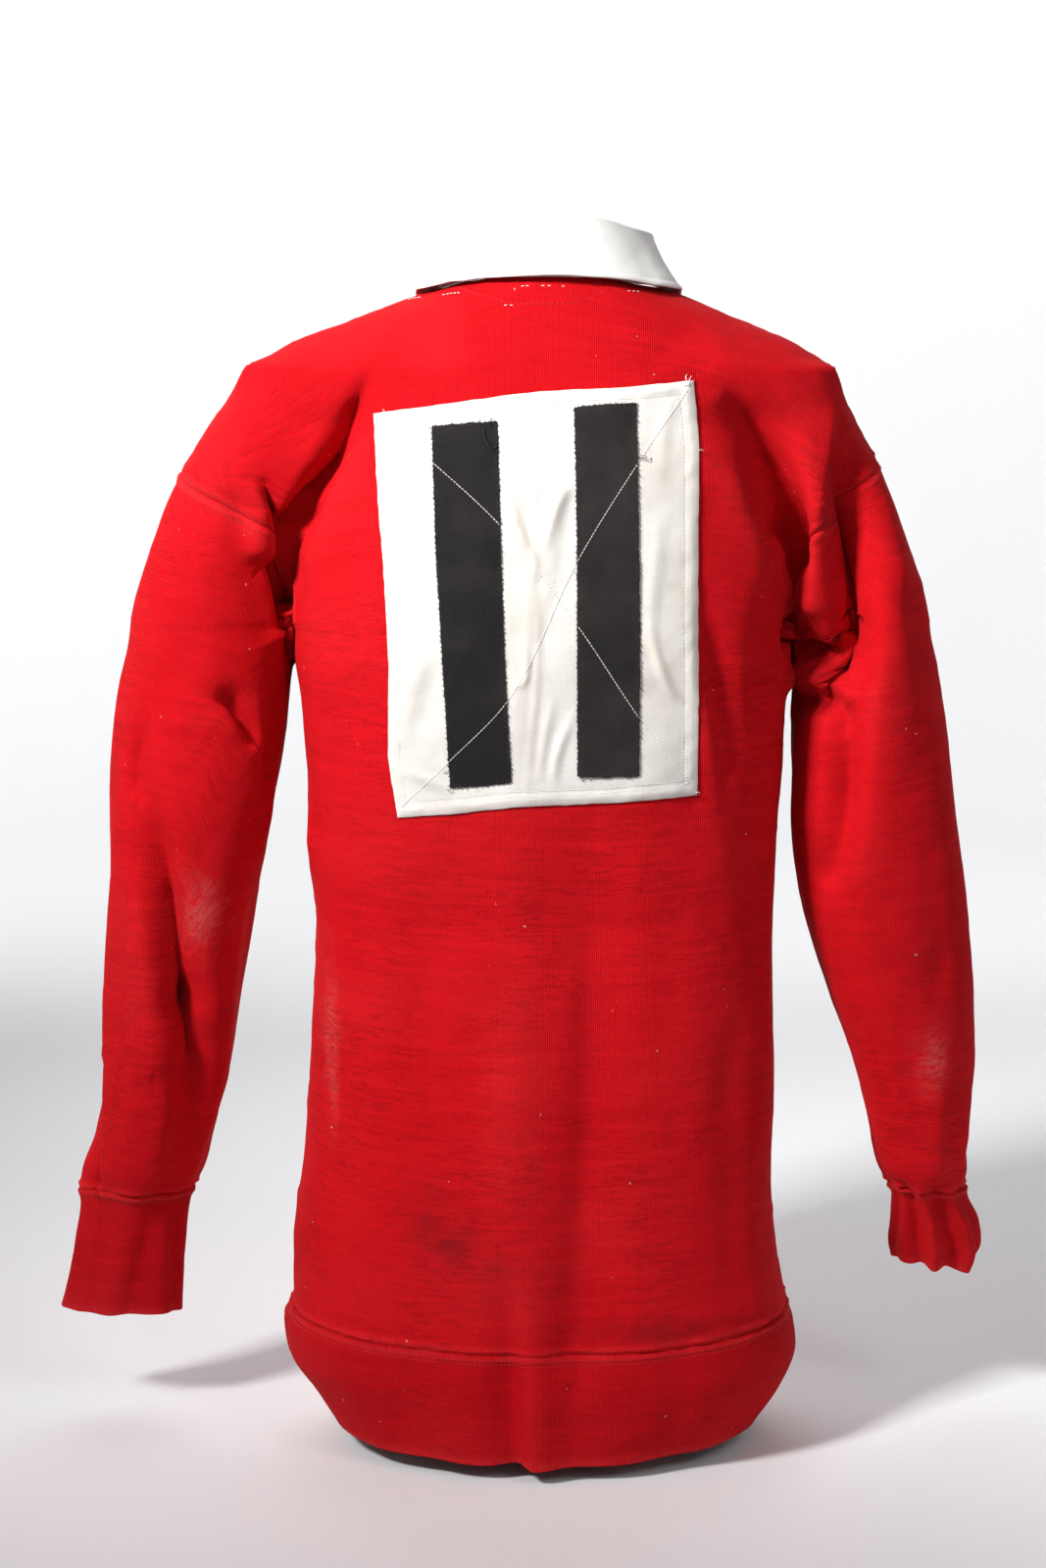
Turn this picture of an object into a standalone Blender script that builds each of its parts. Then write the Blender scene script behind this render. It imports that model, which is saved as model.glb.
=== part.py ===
"""Long-sleeved rugby shirt of heavy cotton jersey, worn-out hollow form, seen best from the back.

Metres, +Z up. The shirt's front faces -Y and its back +Y; the wearer's left is +X.
The origin is the middle of the neck opening at the height where the shoulder seams meet the collar.
Every piece is a thin wall, lofted through horizontal sections whose sizes are in the tables below.
"""

import math

import bmesh
import bpy
import numpy as np
from mathutils import Matrix, Vector

# ---------------------------------------------------------------- sizes
CLOTH = 0.0020          # wall of the jersey
COLLAR_CLOTH = 0.0016   # wall of the woven collar
PATCH_CLOTH = 0.0010    # wall of the woven number patch and its bars
SEAM = 0.00016          # how far each piece stays back from a seam
LIE = 0.00032           # gap under what lies on a panel
RIM_ORDER = (0.31, 0.17, 1.0)

BACK_COLS = 10          # columns of the back, centre line to side
FRONT_COLS = 8          # columns of the front, centre line to side
ARMHOLE_STEPS = 8       # rows of a body panel along half an armhole
LOW_ROWS = 9            # rows from the hem seam up to the armpit
TOP_ROWS = 3            # rows from the top of the armhole to the shoulder tip
NECK_ROWS = 4           # rows from the shoulder tip to the neckline
SLEEVE_ROWS = 13
CUFF_ROWS = 3
HEM_ROWS = 3

BUTTON_R = 0.0060
BUTTON_H = 0.0032
PLACKET_W = 0.032
PLACKET_END = -0.205    # height of its lower end
BUTTON_Z = (-0.094, -0.138, -0.182)

# Torso sections. half_l and half_r are the half widths on the wearer's left and right.
TORSO = dict(
    z=     (-.7200, -.7085, -.6651, -.6076, -.5222, -.4375, -.3816, -.3260, -.2800, -.2460, -.2159, -.1750, -.1425, -.1207, -.0900, -.0668, -.0500, -.0427, -.0320, -.0213, -.0106, -.0010, .0035, .0110),
    half_l=(.1765, .1755, .1755, .1685, .1620, .1580, .1618, .1640, .1672, .1722, .1712, .1690, .1665, .1650, .1660, .1850, .2010, .1890, .1664, .1406, .1130, .0850, .0700, .0440),
    half_r=(.1750, .1740, .1670, .1626, .1632, .1620, .1635, .1668, .1690, .1722, .1712, .1690, .1665, .1650, .1660, .1850, .1985, .1890, .1700, .1450, .1190, .0920, .0790, .0620),
    back=  (.1200, .1200, .1170, .1105, .1040, .1045, .1110, .1180, .1225, .1245, .1250, .1232, .1205, .1180, .1120, .1065, .1020, .1000, .0970, .0940, .0905, .0865, .0845, .0800),
    front= (-.1120, -.1120, -.1120, -.1120, -.1140, -.1180, -.1215, -.1240, -.1250, -.1250, -.1235, -.1190, -.1120, -.1050, -.0920, -.0790, -.0670, -.0610, -.0510, -.0400, -.0270, -.0130, -.0050, .0000),
    seam_y=(.0, .0, .0, .0, .0, .0, .0, .0, .0, .0, .0, .0, .0, .0, .0, .0, .0, .001, .004, .008, .013, .018, .020, .022),
    power= (2.5, 2.5, 2.5, 2.5, 2.5, 2.5, 2.5, 2.5, 2.5, 2.5, 2.5, 2.5, 2.4, 2.4, 2.3, 2.2, 2.1, 2.05, 2.0, 2.0, 2.0, 2.0, 2.0, 2.0),
)
PIT_Z = -.2460          # height of the armpits
TIP_Z = -.0500          # height of the shoulder tips
NECK_Z = .0035          # height of the shoulder seams' inner ends
HEM_Z = -.7085          # height of the hem seam at the sides
# Heights at the middle of the back and of the front: the rows of a panel run up or down to these from its side.
MIDDLE = dict(
    row=  ("hem", "pit", "tip", "neck"),
    back= (-.7165, -.2460, -.0450, .0095),
    front=(-.7085, -.2460, -.0860, -.0515),
)
BLEND = .046            # how softly an arm runs into the torso at the shoulder
CLEFT = .016            # the same in the cleft behind and before the armpit
CLEFT_Z = -.1800        # height of the cleft's top
# Arm sections: outer and inner edge away from the middle, half depth, and how far back the middle lies.
ARM_L = dict(
    z=    (-.6370, -.6220, -.5933, -.5506, -.4797, -.4095, -.3537, -.2983, -.2700, -.2460, -.2159, -.1614, -.1207, -.0900, -.0668, -.0500),
    outer=(.3345, .3312, .3230, .3155, .3098, .3060, .3033, .2992, .2955, .2910, .2850, .2662, .2485, .2295, .2130, .2010),
    inner=(.2510, .2433, .2345, .2235, .2108, .1982, .1852, .1778, .1762, .1722, .1700, .1600, .1500, .1400, .1300, .1200),
    deep= (.0330, .0390, .0420, .0450, .0490, .0535, .0580, .0610, .0615, .0615, .0610, .0610, .0615, .0590, .0500, .0350),
    mid_y=(-.0320, -.0290, -.0210, -.0120, .0000, .0070, .0080, .0050, .0020, .0000, .0010, .0020, .0000, .0000, .0000, .0000),
)
ARM_R = dict(
    z=    (-.6370, -.6220, -.5933, -.5506, -.4797, -.4095, -.3537, -.2983, -.2700, -.2460, -.2159, -.1614, -.1207, -.0900, -.0668, -.0500),
    outer=(.3068, .3075, .3090, .3090, .3047, .2990, .2911, .2819, .2772, .2730, .2675, .2505, .2345, .2190, .2066, .1985),
    inner=(.2500, .2415, .2345, .2234, .1985, .1800, .1735, .1742, .1752, .1722, .1690, .1580, .1480, .1380, .1280, .1180),
    deep= (.0300, .0370, .0420, .0460, .0510, .0560, .0600, .0620, .0620, .0615, .0610, .0610, .0620, .0600, .0510, .0360),
    mid_y=(-.0360, -.0310, -.0230, -.0140, -.0040, .0010, .0020, .0020, .0010, .0000, .0010, .0020, .0000, .0000, .0000, .0000),
)
# Height of the armhole seam round the arm: 0 is the outer side, 180 the armpit.
ARMHOLE = dict(
    turn=(0, 45, 78, 107, 132, 155, 180),
    left=(-.1207, -.1310, -.1425, -.1585, -.1700, -.2050, -.2460),
    right=(-.1120, -.1265, -.1380, -.1560, -.1720, -.2080, -.2460),
)
# Hem band: half widths, depths, how square the ring is, and the extra drop at the back and front middle.
HEM_BAND = dict(
    z=     (-.7085, -.7200, -.7380, -.7650, -.7930),
    half_l=(.1755, .1830, .1845, .1700, .1515),
    half_r=(.1740, .1790, .1820, .1735, .1555),
    back=  (.1200, .1220, .1230, .1205, .1160),
    front= (-.1120, -.1140, -.1155, -.1140, -.1100),
    power= (2.5, 2.45, 2.35, 2.2, 2.1),
    rise_b=(-.0080, -.0070, -.0060, -.0040, -.0030),
    rise_f=(.0, .0, .0, .0, .0),
)
# Cuffs: rings from the sleeve's end to the cuff's edge; lean is how far the ring's outer side is raised.
CUFF_L = dict(
    z=    (-.6370, -.6480, -.6780, -.7080, -.7320),
    outer=(.3345, .3340, .3390, .3450, .3520),
    inner=(.2510, .2555, .2590, .2615, .2630),
    deep= (.0330, .0290, .0260, .0235, .0215),
    mid_y=(-.0320, -.0335, -.0370, -.0420, -.0470),
    lean= (.0, .0, .0, .001, .002),
)
CUFF_R = dict(
    z=    (-.6370, -.6470, -.6660, -.6860, -.7020),
    outer=(.3068, .3105, .3205, .3245, .3185),
    inner=(.2500, .2545, .2550, .2545, .2575),
    deep= (.0300, .0275, .0270, .0270, .0260),
    mid_y=(-.0360, -.0400, -.0480, -.0580, -.0650),
    lean= (.0, .0, -.001, -.002, -.003),
)
# Collar round the neck: turn 0 is the back middle and 180 the front. Sizes of the stand and of the leaf that falls over it.
COLLAR = dict(
    turn=  (0, 30, 60, 90, 120, 145, 160, 172),
    stand= (.0375, .0370, .0350, .0325, .0300, .0270, .0245, .0230),   # height of the fold above the neckline
    lean=  (-.0150, -.0130, -.0090, -.0065, -.0040, -.0010, .0010, .0020),  # how far the fold lies outwards
    drop=  (.0380, .0375, .0350, .0330, .0370, .0460, .0530, .0570),   # how far the leaf's edge hangs below the fold
    spread=(.0200, .0200, .0190, .0200, .0285, .0370, .0430, .0460),   # how far the leaf's edge stands out from the fold
    slide= (.0, .0, .0, .0, .0, .0040, .0120, .0200),                  # how far the leaf's edge slants back along the neck
)
# Number patch and bars on the back: corners in (x, z), going round.
PATCH = ((.1105, -.0819), (-.0985, -.0603), (-.1024, -.3315), (.0971, -.3480))
BAR_LEFT = ((.0722, -.0905), (.0302, -.0875), (.0235, -.3265), (.0640, -.3285))
BAR_RIGHT = ((-.0207, -.0780), (-.0600, -.0770), (-.0625, -.3215), (-.0228, -.3215))

# The largest folds. Each runs through three points (x, z), top to bottom. depth is how far it lies in (or out, below
# zero), left and right are its widths on the wearer's left and right, start and end its strength at its two ends.
FOLDS = dict(
    name=  ("left_pit", "right_pit", "right_flap", "right_bunch", "left_arm", "left_cleft", "side", "spine", "hem", "chest_left", "chest_right", "front_left", "front_right", "right_arm"),
    face=  (1,         1,          1,           1,            1,          1,          1,       1,       1,       -1,           -1,            -1,           -1,            -1),
    x1=    (.1193,     -.1122,     -.2010,      -.1675,       .2752,      .1690,      -.1075,  -.0320,  .0235,   .1000,        -.1050,        .0600,        -.0700,        -.2350),
    z1=    (-.0600,    -.0773,     -.0870,      -.2300,       -.2796,     -.1560,     -.2059,  -.3587,  -.6300,  -.0950,       -.0900,        -.3200,       -.3600,        -.3000),
    x2=    (.1542,     -.1525,     -.2010,      -.1868,       .2630,      .1745,      -.1180,  -.0308,  .0210,   .1350,        -.1400,        .0700,        -.0620,        -.2420),
    z2=    (-.1132,    -.1184,     -.1625,      -.2330,       -.4000,     -.2000,     -.2617,  -.5606,  -.7200,  -.1350,       -.1350,        -.4700,       -.5200,        -.4000),
    x3=    (.1730,     -.1680,     -.2050,      -.2056,       .2516,      .1734,      -.1305,  -.0209,  .0176,   .1560,        -.1580,        .0650,        -.0700,        -.2600),
    z3=    (-.1560,    -.1560,     -.2356,      -.2450,       -.5247,     -.2422,     -.3124,  -.7132,  -.7960,  -.1700,       -.1750,        -.6600,       -.6800,        -.5000),
    depth= (.0140,     .0130,      .0150,       .0080,        .0090,      .0060,      .0060,   .0050,   .0080,   .0100,        .0100,         .0060,        .0060,         .0070),
    left=  (.0100,     .0140,      .0100,       .0120,        .0140,      .0100,      .0140,   .0180,   .0160,   .0180,        .0160,         .0200,        .0180,         .0180),
    right= (.0180,     .0100,      .0200,       .0120,        .0140,      .0140,      .0140,   .0220,   .0120,   .0160,        .0180,         .0180,        .0200,         .0180),
    start= (.20,       .20,        .30,         .60,          .30,        .30,        .20,     .20,     .10,     .10,          .10,           .10,          .10,           .10),
    end=   (.40,       .60,        .60,         .60,          .40,        .60,        .20,     .60,     1.0,     .50,          .50,           .60,          .60,           .30),
)

RED = (0.52, 0.006, 0.012, 1.0)
RED_RIB = (0.47, 0.005, 0.010, 1.0)
WHITE = (0.86, 0.83, 0.76, 1.0)
CALICO = (0.82, 0.78, 0.70, 1.0)
BLACK = (0.018, 0.018, 0.020, 1.0)
RUBBER = (0.80, 0.77, 0.70, 1.0)


# ---------------------------------------------------------------- smooth curves through tables
def through(xs, ys, x):
    """A smooth curve through the points of a table, read at x. The slope at each point is held so that it can't overshoot."""
    xs, ys, x = np.asarray(xs, float), np.asarray(ys, float), np.asarray(x, float)
    h = np.diff(xs)
    d = np.diff(ys) / h
    m = np.zeros(len(xs))
    m[0], m[-1] = d[0], d[-1]
    for k in range(1, len(xs) - 1):
        if d[k - 1] * d[k] > 0:
            w1, w2 = 2 * h[k] + h[k - 1], h[k] + 2 * h[k - 1]
            m[k] = (w1 + w2) / (w1 / d[k - 1] + w2 / d[k])
    x = np.clip(x, xs[0], xs[-1])
    i = np.clip(np.searchsorted(xs, x) - 1, 0, len(xs) - 2)
    t = (x - xs[i]) / h[i]
    return (
        ys[i] * (1 + 2 * t) * (1 - t) ** 2
        + m[i] * h[i] * t * (1 - t) ** 2
        + ys[i + 1] * t * t * (3 - 2 * t)
        + m[i + 1] * h[i] * t * t * (t - 1)
    )


def read(table, column, at, key="z"):
    return through(table[key], table[column], at)


def soft_max(a, b, k):
    return np.maximum(a, b) + np.maximum(k - np.abs(a - b), 0) ** 2 / (4 * k)


# ---------------------------------------------------------------- sections of the worn shirt
def arm_of(side):
    return ARM_L if side > 0 else ARM_R


def arm_point(side, z, turn):
    """A point on the arm's section. turn 0 is the outer side, 90 the back, 180 the armpit and 270 the front."""
    table = arm_of(side)
    outer, inner = read(table, "outer", z), read(table, "inner", z)
    a = np.radians(turn)
    x = (outer + inner) / 2 + (outer - inner) / 2 * np.cos(a)
    y = read(table, "mid_y", z) + read(table, "deep", z) * np.sin(a)
    return np.stack([side * x, y, z + 0 * x], -1)


def cols_of(face):
    return BACK_COLS if face > 0 else FRONT_COLS


def armhole_z(side, turn):
    turn = np.abs((np.asarray(turn, float) + 180) % 360 - 180)
    return through(ARMHOLE["turn"], ARMHOLE["left" if side > 0 else "right"], turn)


def field(points, joined):
    """Roughly the distance of points from the shirt's surface, below zero inside. joined adds the arms to the torso."""
    x, y, z = points[..., 0], points[..., 1], points[..., 2]
    seam_y, power = read(TORSO, "seam_y", z), read(TORSO, "power", z)
    half = np.where(x > 0, read(TORSO, "half_l", z), read(TORSO, "half_r", z))
    deep = np.abs(np.where(y > seam_y, read(TORSO, "back", z), read(TORSO, "front", z)) - seam_y)
    u, v = np.abs(x) / half + 1e-9, np.abs(y - seam_y) / deep + 1e-9
    r = (u**power + v**power) ** (1 / power)
    slope = r ** (1 - power) * np.hypot(u ** (power - 1) / half, v ** (power - 1) / deep)
    torso = (r - 1) / slope
    if not joined:
        return torso
    arm = np.full(x.shape, 1.0)
    for side in (1, -1):
        table = arm_of(side)
        outer, inner = read(table, "outer", z), read(table, "inner", z)
        wide, arm_deep = (outer - inner) / 2, read(table, "deep", z)
        u = (side * x - (outer + inner) / 2) / wide
        v = (y - read(table, "mid_y", z)) / arm_deep
        r = np.hypot(u, v) + 1e-9
        slope = np.hypot(u / wide, v / arm_deep) / r
        arm = np.minimum(arm, (r - 1) / np.maximum(slope, 1e-6))
    # The arms end above the shoulder tips, and below the armpits they hang free of the torso.
    arm = arm + 6 * np.maximum(z - TIP_Z, 0) + 3 * np.maximum(PIT_Z + 0.022 - z, 0)
    rise = np.clip((z - CLEFT_Z) / 0.055, 0, 1)
    k = CLEFT + (BLEND - CLEFT) * rise * rise * (3 - 2 * rise)
    return -soft_max(-torso, -arm, k)


def skin(x, z, face, joined):
    """y of the surface over (x, z) on the back (face 1) or front (-1), by halving the way in from outside."""
    far = np.full(x.shape, 0.22 * face)
    near = read(TORSO, "seam_y", z) + 0 * x
    for _ in range(34):
        y = (far + near) / 2
        inside = field(np.stack([x, y, z], -1), joined) < 0
        near, far = np.where(inside, y, near), np.where(inside, far, y)
    return (far + near) / 2


def fold_depth(points, normals):
    """How far the folds press the cloth in at points."""
    total = np.zeros(points.shape[:-1])
    x, z = points[..., 0], points[..., 2]
    for k in range(len(FOLDS["name"])):
        f = {column: FOLDS[column][k] for column in FOLDS}
        t = np.linspace(0, 1, 17)
        bx = f["x1"] * (1 - t) ** 2 + (4 * f["x2"] - f["x1"] - f["x3"]) * t * (1 - t) + f["x3"] * t**2
        bz = f["z1"] * (1 - t) ** 2 + (4 * f["z2"] - f["z1"] - f["z3"]) * t * (1 - t) + f["z3"] * t**2
        near = np.full(x.shape, 1e9)
        value = np.zeros(x.shape)
        for j in range(16):
            dx, dz = bx[j + 1] - bx[j], bz[j + 1] - bz[j]
            length = math.hypot(dx, dz)
            s = np.clip(((x - bx[j]) * dx + (z - bz[j]) * dz) / length**2, 0, 1)
            away = np.hypot(x - bx[j] - s * dx, z - bz[j] - s * dz)
            side = dx * (z - bz[j]) - dz * (x - bx[j])
            width = np.where(side > 0, f["left"], f["right"])
            along = t[j] + s / 16
            strength = np.interp(along, (0, 0.5, 1), (f["start"], 1, f["end"]))
            here = strength * np.exp(-((away / width) ** 2))
            value = np.where(away < near, here, value)
            near = np.minimum(near, away)
        facing = np.clip((normals[..., 1] * f["face"] - 0.05) / 0.4, 0, 1)
        total += f["depth"] * value * facing * facing * (3 - 2 * facing)
    return total


def onto(points):
    """Points moved onto the joined surface along its slope."""
    for _ in range(8):
        f = field(points, True)
        step = 2e-4
        slope = np.stack([
            (field(points + step * np.eye(3)[k], True) - field(points - step * np.eye(3)[k], True)) / (2 * step)
            for k in range(3)
        ], -1)
        move = f[..., None] * slope / np.maximum((slope**2).sum(-1, keepdims=True), 0.2)
        length = np.linalg.norm(move, axis=-1, keepdims=True)
        points = points - move * np.minimum(1, 0.004 / np.maximum(length, 1e-9))
    return points


def armhole_line(side, face):
    """Points of half an armhole seam at equal distances from the armpit up to the shoulder, and their turns round the arm."""
    turn = np.linspace(180, 0, 241)
    p = arm_point(side, armhole_z(side, turn), turn * face)
    p[1:-1, 1] = skin(p[1:-1, 0], p[1:-1, 2], face, True)
    # The seam runs smoothly out of the armpit.
    ease = np.clip(np.linspace(0, 1, 241) / 0.06, 0, 1)
    ease = ease * ease * (3 - 2 * ease)
    p[:, 1] = p[0, 1] * (1 - ease) + p[:, 1] * ease
    along = np.concatenate([[0], np.cumsum(np.linalg.norm(np.diff(p, axis=0), axis=1))])
    at = np.linspace(0, along[-1], ARMHOLE_STEPS + 1)
    return np.stack([np.interp(at, along, p[:, k]) for k in range(3)], -1), np.interp(at, along, turn * face)


def panel_row(side, face, end, middle, joined):
    """Half a row of a body panel, as close points from the centre line out to its end."""
    u = np.linspace(0, 1, 420)
    x_end = abs(end[0])
    x = x_end * np.sin(u * math.pi / 2)
    z = middle + (end[2] - middle) * (x / x_end) ** 2
    y = skin(side * x, z, face, joined)
    y[-1] = end[1]
    return np.stack([side * x, y, z], -1)


def spaced(points, count):
    """count + 1 points at even distances along a line of close points."""
    along = np.concatenate([[0], np.cumsum(np.linalg.norm(np.diff(points, axis=0), axis=1))])
    at = np.linspace(0, along[-1], count + 1)
    return np.stack([np.interp(at, along, points[:, k]) for k in range(3)], -1)


def row_ends(side, face):
    """(end point, height at the centre line, joined) of each row of half a body panel, from the hem seam to the neckline."""
    middle = MIDDLE["back" if face > 0 else "front"]
    rows = []
    for k in range(LOW_ROWS):
        t = k / LOW_ROWS
        z = HEM_Z + (PIT_Z - HEM_Z) * t
        x = float(read(TORSO, "half_l" if side > 0 else "half_r", z))
        rows.append(((side * x, float(read(TORSO, "seam_y", z)), z), middle[0] + (middle[1] - middle[0]) * t, False))
    top = float(armhole_z(side, 0))
    armhole = armhole_line(side, face)[0]
    high = ARMHOLE_STEPS + TOP_ROWS
    for k in range(high + 1):
        if k <= ARMHOLE_STEPS:
            end = armhole[k]
        else:
            z = top + (TIP_Z - top) * (k - ARMHOLE_STEPS) / TOP_ROWS
            end = arm_point(side, z, np.asarray(0.0))
        rows.append((end, middle[1] + (middle[2] - middle[1]) * k / high, k > 0))
    for k in range(1, NECK_ROWS + 1):
        t = k / NECK_ROWS
        z = TIP_Z + (NECK_Z - TIP_Z) * t
        x = float(read(TORSO, "half_l" if side > 0 else "half_r", z))
        rows.append(((side * x, float(read(TORSO, "seam_y", z)), z), middle[2] + (middle[3] - middle[2]) * t, True))
    return rows


def body_panel(face):
    """Grid of a body panel: rows from hem to neck, columns from the wearer's right to left."""
    grid = []
    for left, right in zip(row_ends(1, face), row_ends(-1, face)):
        halves = [spaced(panel_row(side, face, *row), cols_of(face)) for side, row in ((-1, right), (1, left))]
        middle = (halves[0][0] + halves[1][0]) / 2
        halves[0][0] = halves[1][0] = middle
        grid.append(np.concatenate([halves[0][::-1], halves[1][1:]]))
    return np.array(grid)


def sleeve(side):
    """Grid of a sleeve: rings from the armhole to the cuff seam, columns round the arm from the outer side by the back."""
    back, back_turns = armhole_line(side, 1)
    front, front_turns = armhole_line(side, -1)
    # Both halves run up from the armpit, and the columns start on the outer side.
    seam = np.concatenate([back[::-1], front[1:-1]])
    turns = np.concatenate([back_turns[::-1], 360 + front_turns[1:-1]])
    even = np.arange(len(seam)) * 360 / len(seam)
    bottom = arm_of(side)["z"][0]
    grid = []
    for j in range(SLEEVE_ROWS + 1):
        t = j / SLEEVE_ROWS
        z = seam[:, 2] * (1 - t) + bottom * t
        blend = min(t / 0.5, 1)
        ring = arm_point(side, z, turns + (even - turns) * blend * blend * (3 - 2 * blend))
        share = np.clip((z - PIT_Z) / 0.035, 0, 1)
        share = (share * share * (3 - 2 * share))[:, None]
        ring = ring + (onto(ring) - ring) * share
        grid.append(ring)
    grid = np.array(grid)
    # The first ring is the armhole itself, and the next ones come out of it softly.
    down = np.clip((seam[None, :, 2] - grid[..., 2]) / 0.035, 0, 1)
    gap = seam - grid[0]
    return grid + gap[None] * (1 - down * down * (3 - 2 * down))[..., None]


def cuff(side):
    table = CUFF_L if side > 0 else CUFF_R
    turns = np.radians(np.linspace(0, 360, 2 * ARMHOLE_STEPS + 1)[:-1])
    grid = []
    for z in np.linspace(table["z"][0], table["z"][-1], CUFF_ROWS + 1):
        outer, inner = float(read_down(table, "outer", z)), float(read_down(table, "inner", z))
        x = (outer + inner) / 2 + (outer - inner) / 2 * np.cos(turns)
        y = float(read_down(table, "mid_y", z)) + float(read_down(table, "deep", z)) * np.sin(turns)
        zz = z + float(read_down(table, "lean", z)) * np.cos(turns)
        grid.append(np.stack([side * x, y, zz], -1))
    return np.array(grid)


def read_down(table, column, z):
    """As read(), for a table whose heights run downwards."""
    return through([-v for v in table["z"]], table[column], -z)


def hem_band(face):
    grid = []
    for z in np.linspace(HEM_BAND["z"][0], HEM_BAND["z"][-1], HEM_ROWS + 1):
        halves = []
        for side in (-1, 1):
            half = float(read_down(HEM_BAND, "half_l" if side > 0 else "half_r", z))
            deep = float(read_down(HEM_BAND, "back" if face > 0 else "front", z))
            rise = float(read_down(HEM_BAND, "rise_b" if face > 0 else "rise_f", z))
            x = half * np.sin(np.linspace(0, math.pi / 2, 420))
            power = float(read_down(HEM_BAND, "power", z))
            y = deep * np.maximum(1 - (x / half) ** power, 0) ** (1 / power)
            halves.append(spaced(np.stack([side * x, y, z + rise * (1 - (x / half) ** 2)], -1), cols_of(face)))
        middle = (halves[0][0] + halves[1][0]) / 2
        halves[0][0] = halves[1][0] = middle
        grid.append(np.concatenate([halves[0][::-1], halves[1][1:]]))
    return np.array(grid)


# ---------------------------------------------------------------- walls
def normals_of(grid, closed):
    """Unit normals of a grid of points, by the cross product of its two directions."""
    rows = np.gradient(grid, axis=0)
    if closed:
        cols = np.roll(grid, -1, 1) - np.roll(grid, 1, 1)
    else:
        cols = np.gradient(grid, axis=1)
    n = np.cross(cols, rows)
    return n / np.maximum(np.linalg.norm(n, axis=-1, keepdims=True), 1e-12)


def faced(grid, normals, centre):
    """The normals turned so that they point away from a centre line."""
    out = ((grid - centre) * normals).sum(-1)
    return normals * (1 if out.mean() > 0 else -1)


def drawn_in(grid, normals, closed, edges):
    """The grid with its edge rows and columns moved in by the seam's gap, square to the seam and along the cloth."""
    moved = grid.copy()

    def draw(line, outs, inside):
        along = unit(np.roll(line, -1, 0) - np.roll(line, 1, 0) if closed else np.gradient(line, axis=0))
        square = unit(np.cross(outs, along))
        square *= 1 if ((inside - line) * square).sum() > 0 else -1
        into = unit(inside - line - ((inside - line) * along).sum(-1, keepdims=True) * along)
        return SEAM * unit(square + 0.6 * into)

    if "first" in edges:
        moved[0] += draw(grid[0], normals[0], grid[1])
    if "last" in edges:
        moved[-1] += draw(grid[-1], normals[-1], grid[-2])
    if not closed and "sides" in edges:
        moved[:, 0] += draw(grid[:, 0], normals[:, 0], grid[:, 1])
        moved[:, -1] += draw(grid[:, -1], normals[:, -1], grid[:, -2])
    return moved


def unit(v):
    return v / np.maximum(np.linalg.norm(v, axis=-1, keepdims=True), 1e-12)


def material(name, colour, roughness):
    made = bpy.data.materials.new(name)
    made.use_nodes = True
    shader = made.node_tree.nodes["Principled BSDF"]
    shader.inputs["Base Color"].default_value = colour
    shader.inputs["Roughness"].default_value = roughness
    shader.inputs["Metallic"].default_value = 0.0
    made.diffuse_color = colour
    return made


def place(name, verts, faces, mat):
    """Makes an object whose origin is the middle of its box."""
    verts = np.asarray(verts, float)
    middle = (verts.min(0) + verts.max(0)) / 2
    mesh = bpy.data.meshes.new(name)
    mesh.from_pydata([tuple(v) for v in verts - middle], [], [tuple(f) for f in faces])
    mesh.validate()
    bm = bmesh.new()
    bm.from_mesh(mesh)
    bmesh.ops.recalc_face_normals(bm, faces=bm.faces)
    bm.to_mesh(mesh)
    bm.free()
    mesh.shade_smooth()
    mesh.materials.append(material(name, *mat))
    obj = bpy.data.objects.new(name, mesh)
    obj.location = Vector(middle)
    bpy.context.scene.collection.objects.link(obj)
    return obj


def triangles(rows, cols, closed):
    """Triangles of a grid, each quad cut along the same diagonal."""
    faces = []
    width = cols if closed else cols - 1
    for j in range(rows - 1):
        for i in range(width):
            a, b = j * cols + i, j * cols + (i + 1) % cols
            c, d = a + cols, b + cols
            faces += [(a, b, d), (a, d, c)]
    return faces


def wall_from(verts, faces, normals, inner, outer):
    """(verts, faces) of the closed wall between a surface moved by inner and by outer along its normals."""
    verts, normals = np.asarray(verts, float), np.asarray(normals, float)
    n = len(verts)
    count, first = {}, {}
    for f in faces:
        for k in range(len(f)):
            a, b = f[k], f[(k + 1) % len(f)]
            key = (min(a, b), max(a, b))
            count[key] = count.get(key, 0) + 1
            first[key] = (a, b)
    all_faces = list(faces) + [tuple(v + n for v in reversed(f)) for f in faces]
    for key, times in count.items():
        if times == 1:
            a, b = first[key]
            # Both pieces at a seam cut each rim quad along the same diagonal.
            if verts[a] @ RIM_ORDER > verts[b] @ RIM_ORDER:
                all_faces += [(b, a, a + n), (b, a + n, b + n)]
            else:
                all_faces += [(b, a, b + n), (a, a + n, b + n)]
    return np.concatenate([verts + normals * outer, verts + normals * inner]), all_faces


def panel(name, grid, normals, closed, mat, thick=CLOTH, edges=("first", "last", "sides")):
    grid = drawn_in(grid, normals, closed, edges)
    rows, cols = grid.shape[:2]
    faces = triangles(rows, cols, closed)
    verts, all_faces = wall_from(grid.reshape(-1, 3), faces, normals.reshape(-1, 3), -thick, 0.0)
    place(name, verts, all_faces, mat)
    return grid.reshape(-1, 3), faces, normals.reshape(-1, 3)


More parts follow.
